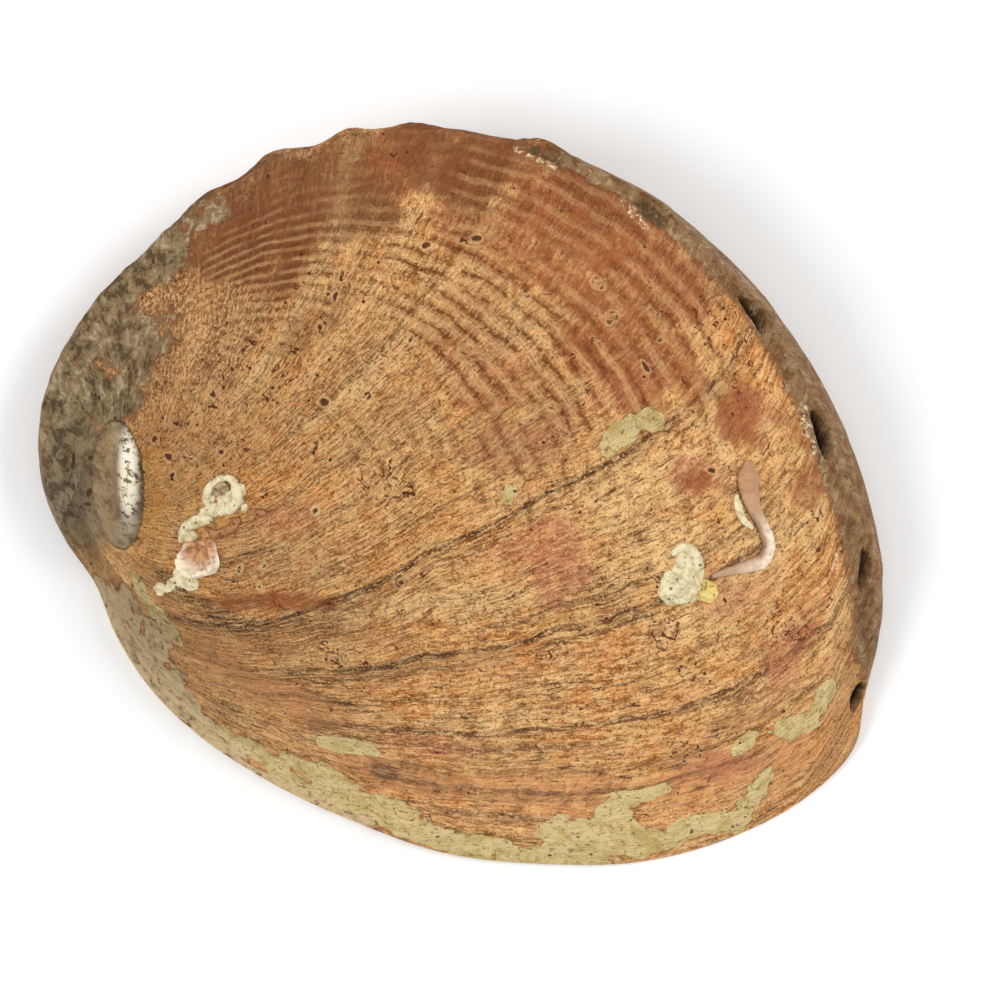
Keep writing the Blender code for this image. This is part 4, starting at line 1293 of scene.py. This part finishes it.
def weathered_back():
    """The worn outside: brown and tan layers, streaks, crust, film and borings."""
    s = Shader("weathered_back", 0.6, 0.14)
    row, share, place = s.read("row_mm"), s.read("share"), s.place
    wander = s.noise(place, 9.0, 2.0) - 0.5
    wiggle = s.noise(place, 1.6, 3.0, 0.6) - 0.5
    row = row + wander * 2.4 + wiggle * 0.7
    field = s.join(row, share * 30.0)
    ragged = (s.noise(place, 3.0, 3.0, 0.7) - 0.5) * 2.4 + 1.0
    tints = [(s.step(s.read(name) * ragged, 0.0, 0.85), tint) for name, tint in TINT_COLOURS]
    colour = broad_colour(s, row, share, field, tints)

    # Brown brush marks across the growth, dark furrows between the cords
    ribbed, combed, brushed = s.read("ribbed"), s.read("combed"), s.read("brushed")
    brush = along(s, field, 0.13, 1.5)
    colour = s.mix(s.step(brush, 0.53, 0.64) * (brushed * 0.66 + 0.12), colour, STAIN)
    turn = share * CORDS + wander * 0.9 + wiggle * 0.25
    furrow = s.math("ABSOLUTE", s.math("FRACT", turn) - 0.5)
    narrow = s.math("ABSOLUTE", s.math("FRACT", turn * 2.0 + 0.5) - 0.5)
    beads = along(s, field, 0.7, 3.0, 2.0)
    patchy = s.step(s.noise(place, 6.0, 2.0, 0.6), 0.38, 0.54)
    furrowed = ribbed * (patchy * 0.7 + 0.3) + 0.12 * patchy
    gap = s.step(beads, 0.32, 0.52)

    # Growth streaks, dense only where the layer is combed
    streak = along(s, field, 0.75, 0.20, 4.0, 0.72)
    fine = along(s, field, 2.6, 0.45, 3.0, 0.7)
    dark_streak = s.step(streak, 0.53, 0.62)
    hair = s.step(s.noise(place, 8.0, 2.0, 0.6), 0.50, 0.66) * 0.4 + combed * 0.6
    hair = hair * (patchy * 0.7 + 0.3)
    colour = s.mix(s.step(streak, 0.47, 0.37) * (hair * 0.4 + 0.15), colour, STREAK_PALE)
    colour = s.mix(dark_streak * (hair * 0.80 + 0.06), colour, STREAK)
    colour = s.mix(s.step(fine, 0.46, 0.37) * (hair * 0.4 + 0.14), colour, STREAK_PALE)
    colour = s.mix(s.step(fine, 0.55, 0.64) * (hair * 0.75 + 0.08), colour, STREAK)
    cracks, edges = growth_cracks(s, field, hair, beads)
    # Painted highlight beside the cracks and threads
    colour = s.mix(edges * 0.4, colour, STREAK_PALE)
    colour = s.mix(cracks * 0.92, colour, CRACK)

    # Dark growth lines and sooty streaks
    broken = s.step(s.noise(place, 6.0, 3.0, 0.7), 0.30, 0.54)
    lines = line_mask(s, row, share, dark_streak) * (broken * 0.6 + 0.4)
    colour = s.mix(lines * 0.95, colour, LINE)
    soot = s.read("sooty") * s.step(streak + fine * 0.6, 0.66, 0.80)
    colour = s.mix(soot * 0.92, colour, SOOT)

    # Small scales and grains, then the dark tints and the furrows over them
    fleck = along(s, field, 1.2, 1.5, 3.0, 0.75)
    grain = s.noise(place, 0.55, 2.0, 0.7)
    busy = 1.0 - s.either(s.read("brown"), s.read("ruddy"), s.read("peach")) * 0.8
    colour = s.mix(s.step(fleck, 0.53, 0.58) * busy * 0.60, colour, STREAK_PALE)
    colour = s.mix(s.step(fleck, 0.45, 0.39) * (0.12 + busy * 0.42), colour, STREAK)
    colour = s.mix(s.step(grain, 0.41, 0.35) * busy * 0.78, colour, CRACK)
    colour = s.mix(s.step(grain, 0.57, 0.64) * busy * 0.62, colour, STREAK_PALE)
    for cover, tint in tints[DARK_TINTS:]:
        colour = s.mix(cover * 0.54, colour, tint)
    colour = s.mix(s.step(furrow, 0.26, 0.40) * furrowed * 0.35, colour, STREAK_PALE)
    colour = s.mix(s.step(furrow, 0.20, 0.05) * furrowed * gap * 0.70, colour, STREAK)
    narrow = s.step(narrow, 0.16, 0.03) * furrowed * s.step(beads, 0.46, 0.60)
    colour = s.mix(narrow * 0.5, colour, STREAK)

    # Olive film, mottled margin and the wall below the row of holes
    speck = s.noise(place, 1.4, 3.0, 0.75)
    mottle = s.noise(place, 4.0, 4.0, 0.7, 0.5)
    filmed = s.read("olive") + (mottle - 0.5) * 1.1
    colour = s.mix(s.step(filmed, 0.24, 0.40) * 0.6, colour, STREAK)
    film = film_look(s, speck, mottle, dark_streak)
    colour = s.mix(s.step(filmed, 0.38, 0.50), colour, film)
    wall = s.read("wall")
    margin = s.either(s.read("mottled"), wall) * 1.1 + (speck + mottle - 1.0) * 1.1
    colour = s.mix(s.step(margin, 0.05, 0.50) * 0.7, colour, DARK_BROWN)
    smear = mottle + (streak - 0.5) * 0.4 + (speck - 0.5) * 0.4
    grey = margin_look(s, speck, smear, wall)
    colour = s.mix(s.step(margin, 0.32, 0.68), colour, grey)

    # Lime crust with painted shadow along its edge, thin enough to show the shell in places
    crusted = s.read("lime") + (speck - 0.5) * 1.1 + (mottle - 0.5) * 0.9
    lime = s.step(crusted, 0.40, 0.50)
    # Painted shadow round the edge of the crust
    colour = s.mix(s.step(crusted, 0.22, 0.40) * 0.55, colour, STREAK)
    colour = s.mix(lime * 0.92, colour, crust_look(s, speck, mottle))

    # The bare spire: a dull side, and the knob with painted shade along the groove at its edge
    knob, polished = s.read("knob"), s.read("polished")
    pitted = s.step(speck, 0.58, 0.64)
    colour = s.mix(polished * 0.9, colour, dull_look(s, speck, mottle, pitted))
    right = 1.0 - polished * 0.9
    bare = knob + (speck - 0.5) * 0.5
    # Painted shade in the groove along the knob's edge
    colour = s.mix(s.step(bare, 0.05, 0.30) * right * 0.7, colour, LINE)
    nacre = knob_look(s, speck, pitted)
    colour = s.mix(s.step(bare, 0.35, 0.70) * right, colour, nacre)
    smooth_part = s.either(knob, polished * 0.6)

    # Borings, filled holes with chalky rims that are partly painted light on lit hole walls,
    # and painted shade down in the open holes
    bores, rim, painted_halo, sunk = borings(s, speck, smooth_part)
    # Painted highlight round the borings
    colour = s.mix(painted_halo * right * 0.35, colour, STREAK_PALE)
    colour = s.mix(rim * 0.75, colour, RIM)
    colour = s.mix(bores * 0.92, colour, PIT)
    # Pale chips: chalk, and painted light on the lit walls of the holes
    colour = s.mix(s.read("chipped") * s.step(speck, 0.52, 0.40), colour, CHALK_AND_LIT_WALL)
    colour = s.mix(s.read("filled") * s.step(speck, 0.35, 0.55), colour, GREY_DARK)
    # Painted shade down in the open holes
    colour = s.mix(s.read("hole"), colour, PAINTED_HOLE_SHADE)
    s.set("Base Color", colour)
    s.set("Roughness", 0.62 - smooth_part * 0.34 + lime * 0.15)
    height = streak * (combed * 0.5 + 0.65) + fine * (combed * 0.3 + 0.3) + fleck * 0.9
    height = (height + furrow * furrowed * 1.3) * (1.0 - smooth_part) - sunk * 0.8
    s.bump(height)
    return s.material


def nacre_inside():
    """Mother of pearl: bands of pink, blue and green over silver."""
    s = Shader("nacre", 0.24, 0.6, coat=0.5)
    row, share, place = s.read("row_mm"), s.read("share"), s.place
    flow = s.noise(s.join(row * 0.06, share * 3.0), 1.0, 3.0, 0.55, 0.4)
    sweep = s.noise(place, 16.0, 3.0, 0.5, 0.5)
    ripple = s.noise(place, 3.0, 3.0, 0.6, 0.3)
    phase = s.math("FRACT", flow * 1.6 + sweep * 1.5 + ripple * 0.35)
    colour = s.node("ShaderNodeValToRGB", {"stops": PEARL}, {0: phase}, "Color")
    scar = s.read("scar")
    blotch = s.noise(place, 4.0, 5.0, 0.65, 0.6)
    colour = s.mix(scar * s.step(blotch, 0.40, 0.62) * 0.55, colour, SCAR_OLIVE)
    colour = s.mix(scar * s.step(blotch, 0.55, 0.40) * 0.45, colour, SCAR_GREEN)
    edge = s.read("lip_edge")
    brown = s.mix(s.step(blotch, 0.42, 0.60), LIP_BROWN, LIP_TAN)
    colour = s.mix(s.step(edge + (blotch - 0.5) * 0.5, 0.45, 0.60), colour, brown)
    s.set("Base Color", colour)
    s.set("Roughness", 0.22 + scar * 0.14 + edge * 0.2)
    s.bump(ripple * 0.5 + blotch * scar * 0.5)
    return s.material


def make_shell():
    points, faces, outside = shell_mesh()
    made = new_object("shell_surface", points, faces)
    made.data.materials.append(weathered_back())
    made.data.materials.append(nacre_inside())
    looks = np.zeros(len(faces), np.int32)
    looks[outside:] = 1
    made.data.polygons.foreach_set("material_index", looks)
    cut_holes(made)
    shell_values(made)
    fit_height(made)
    return made


def fit_height(obj):
    """The fine lumps on top stay under the solid's height."""
    top = max(v.co.z for v in obj.data.vertices)
    for vertex in obj.data.vertices:
        vertex.co.z *= min(1.0, CAD_BOX[1].z / top)


def path_points(path):
    """Places and radii along a smooth curve through the path."""
    knots = np.array(path)
    ends = np.concatenate([[2 * knots[0] - knots[1]], knots, [2 * knots[-1] - knots[-2]]])
    points = []
    for k in range(1, len(ends) - 2):
        for t in np.arange(TUBE_STEPS) / TUBE_STEPS:
            a, b, c, d = ends[k - 1 : k + 3]
            square = (2 * a - 5 * b + 4 * c - d) * t**2
            cube = (3 * b - a - 3 * c + d) * t**3
            points.append(0.5 * (2 * b + (c - a) * t + square + cube))
    points.append(knots[-1])
    return np.array(points)


def on_back(back, x, y):
    """Place on the back above a plan point, and the normal there."""
    start = Vector((x * MM, y * MM, 2.0 * HEIGHT * MM))
    hit, normal, _, _ = back.ray_cast(start, Vector((0.0, 0.0, -1.0)))
    return np.array(hit) / MM, np.array(normal)


def tube(back, path, squash, seed=1.0):
    """Lime tube lying on the back, with growth rings and rounded ends."""
    along = path_points(path)
    normal = np.mean([on_back(back, x, y)[1] for x, y, _ in path], axis=0)
    normal = normal / np.linalg.norm(normal)
    centres, radii = [], []
    for k, (x, y, radius) in enumerate(along):
        ring = 1.0 + 0.05 * math.sin(k * 2.2) + 0.10 * noise.noise(Vector((x, y, seed)) * 0.9)
        radii.append(radius * ring)
        centres.append(on_back(back, x, y)[0] + normal * radius * squash * 0.55)
    centres = np.array(centres)
    points, faces = [], []
    count = len(centres)
    rings = [(0, -beyond, share) for beyond, share in reversed(TUBE_END)]
    rings += [(k, 0.0, 1.0) for k in range(count)]
    rings += [(count - 1, beyond, share) for beyond, share in TUBE_END]
    for k, shift, share in rings:
        run = centres[min(k + 1, count - 1)] - centres[max(k - 1, 0)]
        run = run / np.linalg.norm(run)
        side = np.cross(run, normal)
        side = side / np.linalg.norm(side)
        up = np.cross(side, run)
        middle = centres[k] + run * shift * radii[k]
        for i in range(TUBE_SIDES):
            turn = 2.0 * math.pi * i / TUBE_SIDES
            across, rise = math.cos(turn), math.sin(turn)
            lump = 0.08 * noise.noise(Vector((k * 0.35, across * 1.5, rise * 1.5 + seed)))
            reach = radii[k] * share * (1.0 + lump)
            points.append(middle + side * across * reach + up * rise * reach * squash)
    last = (len(rings) - 1) * TUBE_SIDES
    for start in range(0, last, TUBE_SIDES):
        for i in range(TUBE_SIDES):
            a, b = start + i, start + (i + 1) % TUBE_SIDES
            faces.append((a, b, b + TUBE_SIDES, a + TUBE_SIDES))
    faces.append(tuple(reversed(range(TUBE_SIDES))))
    faces.append(tuple(last + i for i in range(TUBE_SIDES)))
    return points, faces


def mound(back, x, y, radius, height, hollow=False):
    """Lump of lime on the back, or a cup with a raised rim."""
    shares, angles, faces, _ = hex_disc(CUP_RINGS if hollow else MOUND_RINGS)
    points = []
    for share, turn in zip(shares, angles):
        edge = 1.0 + 0.30 * noise.noise(Vector((math.cos(turn) * 1.3, math.sin(turn) * 1.3, x)))
        at_x = x + radius * edge * share * math.cos(turn)
        at_y = y + radius * edge * share * math.sin(turn)
        hit, normal = on_back(back, at_x, at_y)
        if hollow:
            rim = math.exp(-(((share - 0.80) / 0.16) ** 2))
            rise = height * rim * (1.0 + 0.5 * math.cos(turn + 1.2)) + 0.25
        else:
            rise = height * (1.0 - share**2) ** 0.6
        rough_lift = 0.5 * noise.noise(Vector((at_x, at_y, 3.0)) * 1.6) * (1.0 - share**3)
        sink = -0.4 * share**6
        points.append(hit + normal * (rise + rough_lift * min(height, 1.0) + sink))
    return points, faces


def gather(name, parts, node, material):
    """One object from several closed or seated shapes."""
    points, faces = [], []
    for part_points, part_faces in parts:
        start = len(points)
        points.extend(part_points)
        faces.extend(tuple(start + v for v in face) for face in part_faces)
    made = new_object(name, np.array(points), faces)
    made.data.materials.append(material)
    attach(made, "root")
    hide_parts(node)
    return made


def chalky(name, light, deep, spot, roughness):
    """Lime with stains, specks and small open bubbles."""
    s = Shader(name, roughness, 0.3)
    stain = s.noise(s.place, 1.6, 4.0, 0.7)
    colour = s.mix(s.step(stain, 0.42, 0.66), light, deep)
    speck = s.noise(s.place, 0.5, 3.0, 0.7)
    colour = s.mix(s.step(speck, 0.60, 0.70) * 0.7, colour, spot)
    bubbly = s.step(s.noise(s.place, 2.4, 1.0), 0.48, 0.54)
    bubble = s.step(s.cells(s.place, 1.5), 0.24, 0.16) * bubbly
    colour = s.mix(bubble * 0.85, colour, spot)
    s.set("Base Color", colour)
    s.bump(stain * 0.3 + speck * 0.15 - bubble * 0.4)
    return s.material


def tube_glaze():
    """The worm tube: brown where it starts, then pale, with painted highlight on its right side
    and painted shade on its left.
    """
    s = Shader("lilac_tube", 0.45, 0.3)
    down, side = s.read("down"), s.read("side")
    stain = s.noise(s.place, 1.8, 4.0, 0.6)
    rings = s.noise(s.join(down * 46.0, side), 1.0, 2.0)
    colour = s.mix(s.step(down, 0.12, 0.42), TUBE_TOP, TUBE_MIDDLE)
    # Painted highlight on the tube's right side
    lit_side = s.step(side, -0.3, 0.5) * s.step(down, 0.36, 0.52) * s.step(down, 0.90, 0.74)
    colour = s.mix(lit_side, colour, TUBE_HIGHLIGHT)
    # Painted shade on the tube's left side
    colour = s.mix(s.step(side, 0.1, -0.6) * s.step(down, 0.25, 0.45) * 0.85, colour, TUBE_SHADE_AND_RINGS)
    colour = s.mix(s.step(stain, 0.48, 0.70) * 0.5, colour, TUBE_TOP)
    colour = s.mix(s.step(rings, 0.50, 0.30) * 0.35, colour, TUBE_SHADE_AND_RINGS)
    s.set("Base Color", colour)
    s.bump(stain * 0.3 + rings * 0.12)
    return s.material


def cup_lime():
    """The broken cup: a pale scalloped rim round a brown hollow with rays."""
    s = Shader("lilac_cup", 0.4, 0.35)
    away = s.vector("SUBTRACT", s.place, (*CUP_MIDDLE, 0.0))
    away = s.vector("MULTIPLY", away, (1.0, 1.0, 0.0))
    reach = s.vector("LENGTH", away, output=1)
    stain = s.noise(s.place, 1.8, 4.0, 0.65)
    rays = s.noise(s.vector("NORMALIZE", away), 0.5, 3.0, 0.6)
    reach = reach + (stain - 0.5) * 3.0 + (rays - 0.5) * 1.2
    colour = s.mix(s.step(stain + (rays - 0.5) * 0.5, 0.42, 0.56), CUP_BROWN, CUP_ORANGE)
    colour = s.mix(s.step(reach, 2.2, 3.4), colour, CUP_LILAC)
    colour = s.mix(s.step(reach, 3.5, 4.3), colour, CUP_RIM)
    s.set("Base Color", colour)
    s.bump(stain * 0.3 + rays * 0.3)
    return s.material


def tube_values(obj, path):
    """How far down its tube each point lies, and how far to the right."""
    along = path_points(path)
    points = places_of(obj)
    away = points[:, None, :2] - along[None, :, :2]
    nearest = np.hypot(away[..., 0], away[..., 1]).argmin(1)
    off = away[np.arange(len(points)), nearest] @ PICTURE_RIGHT
    set_values(obj, "down", nearest / (len(along) - 1))
    set_values(obj, "side", off / along[nearest, 2])


def grow_on(shell):
    """The worm tube, the knot at its foot and the cluster by the spire."""
    back = BVHTree.FromObject(shell, bpy.context.evaluated_depsgraph_get())
    limes = {name: chalky(name, *looks) for name, looks in LIMES.items()}
    cream = limes["cream_lime"]
    cup = cup_lime()

    def lumps(places):
        return [mound(back, *place) for place in places]

    long_tube = [tube(back, WORM_TUBE, 0.6)]
    long_tube = gather("long_tube", long_tube, "worm_tube", tube_glaze())
    tube_values(long_tube, WORM_TUBE)
    gather("tube_flake", [tube(back, TUBE_FLAKE, 0.6)], "worm_tube", cream)
    knot = [tube(back, KNOT_LOOP, 0.9, 2.0), tube(back, KNOT_ARM, 0.8, 3.0)]
    gather("knot_lime", knot + lumps(KNOT_LUMPS), "tube_knot", cream)
    gather("knot_yellow", lumps(YELLOW_LUMPS), "tube_knot", limes["yellow_lime"])
    loops = [tube(back, CLUSTER_LOOP, 0.8, 4.0), tube(back, CLUSTER_TAIL, 0.7, 5.0)]
    hollow = [tube(back, CLUSTER_INNER, 0.9)] + lumps(HOLLOW_LUMPS)
    cluster = {
        "cluster_lime": (loops + lumps(CLUSTER_LUMPS), cream),
        "cluster_hollow": (hollow, limes["grey_lime"]),
        "cluster_cup": ([mound(back, *CLUSTER_CUP, hollow=True)], cup),
        "red_tubes": ([tube(back, path, 0.7, 6.0) for path in RED_TUBES], limes["red_tube"]),
    }
    for name, (parts, material) in cluster.items():
        gather(name, parts, "tube_cluster", material)


shell = make_shell()
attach(shell, "root")
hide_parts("shell")
bpy.context.view_layer.update()
grow_on(shell)

# Camera, straight above, turned so that the shell lies as it was found.
camera_data = bpy.data.cameras.new("camera")
camera_data.lens = camera_data.sensor_width * CAMERA_HEIGHT / VIEW_WIDTH
camera_data.clip_start = 0.05
camera_data.clip_end = 20.0
camera = bpy.data.objects.new("camera", camera_data)
camera.location = (VIEW_CENTRE[0] * MM, VIEW_CENTRE[1] * MM, CAMERA_HEIGHT * MM)
camera.rotation_euler = (0.0, 0.0, SHELL_TURN)
bpy.context.scene.collection.objects.link(camera)
bpy.context.scene.camera = camera


def area_light(name, place, size, power):
    """Round lamp that shines on the shell."""
    lamp = bpy.data.lights.new(name, "AREA")
    lamp.shape = "DISK"
    lamp.size = size
    lamp.energy = power
    light = bpy.data.objects.new(name, lamp)
    light.location = place
    light.rotation_euler = (-Vector(place)).to_track_quat("-Z", "Y").to_euler()
    bpy.context.scene.collection.objects.link(light)


for lamp in LAMPS:
    area_light(*lamp)

world = bpy.data.worlds.new("studio")
world.use_nodes = True
background = world.node_tree.nodes["Background"]
background.inputs["Color"].default_value = (1.0, 1.0, 1.0, 1.0)
background.inputs["Strength"].default_value = STUDIO_LIGHT
bpy.context.scene.world = world
bpy.context.scene.view_settings.view_transform = "Standard"

floor_mesh = bpy.data.meshes.new("floor")
corners = [(-FLOOR, -FLOOR, 0), (FLOOR, -FLOOR, 0), (FLOOR, FLOOR, 0), (-FLOOR, FLOOR, 0)]
floor_mesh.from_pydata(corners, [], [(0, 1, 2, 3)])
floor = bpy.data.objects.new("floor", floor_mesh)
bpy.context.scene.collection.objects.link(floor)
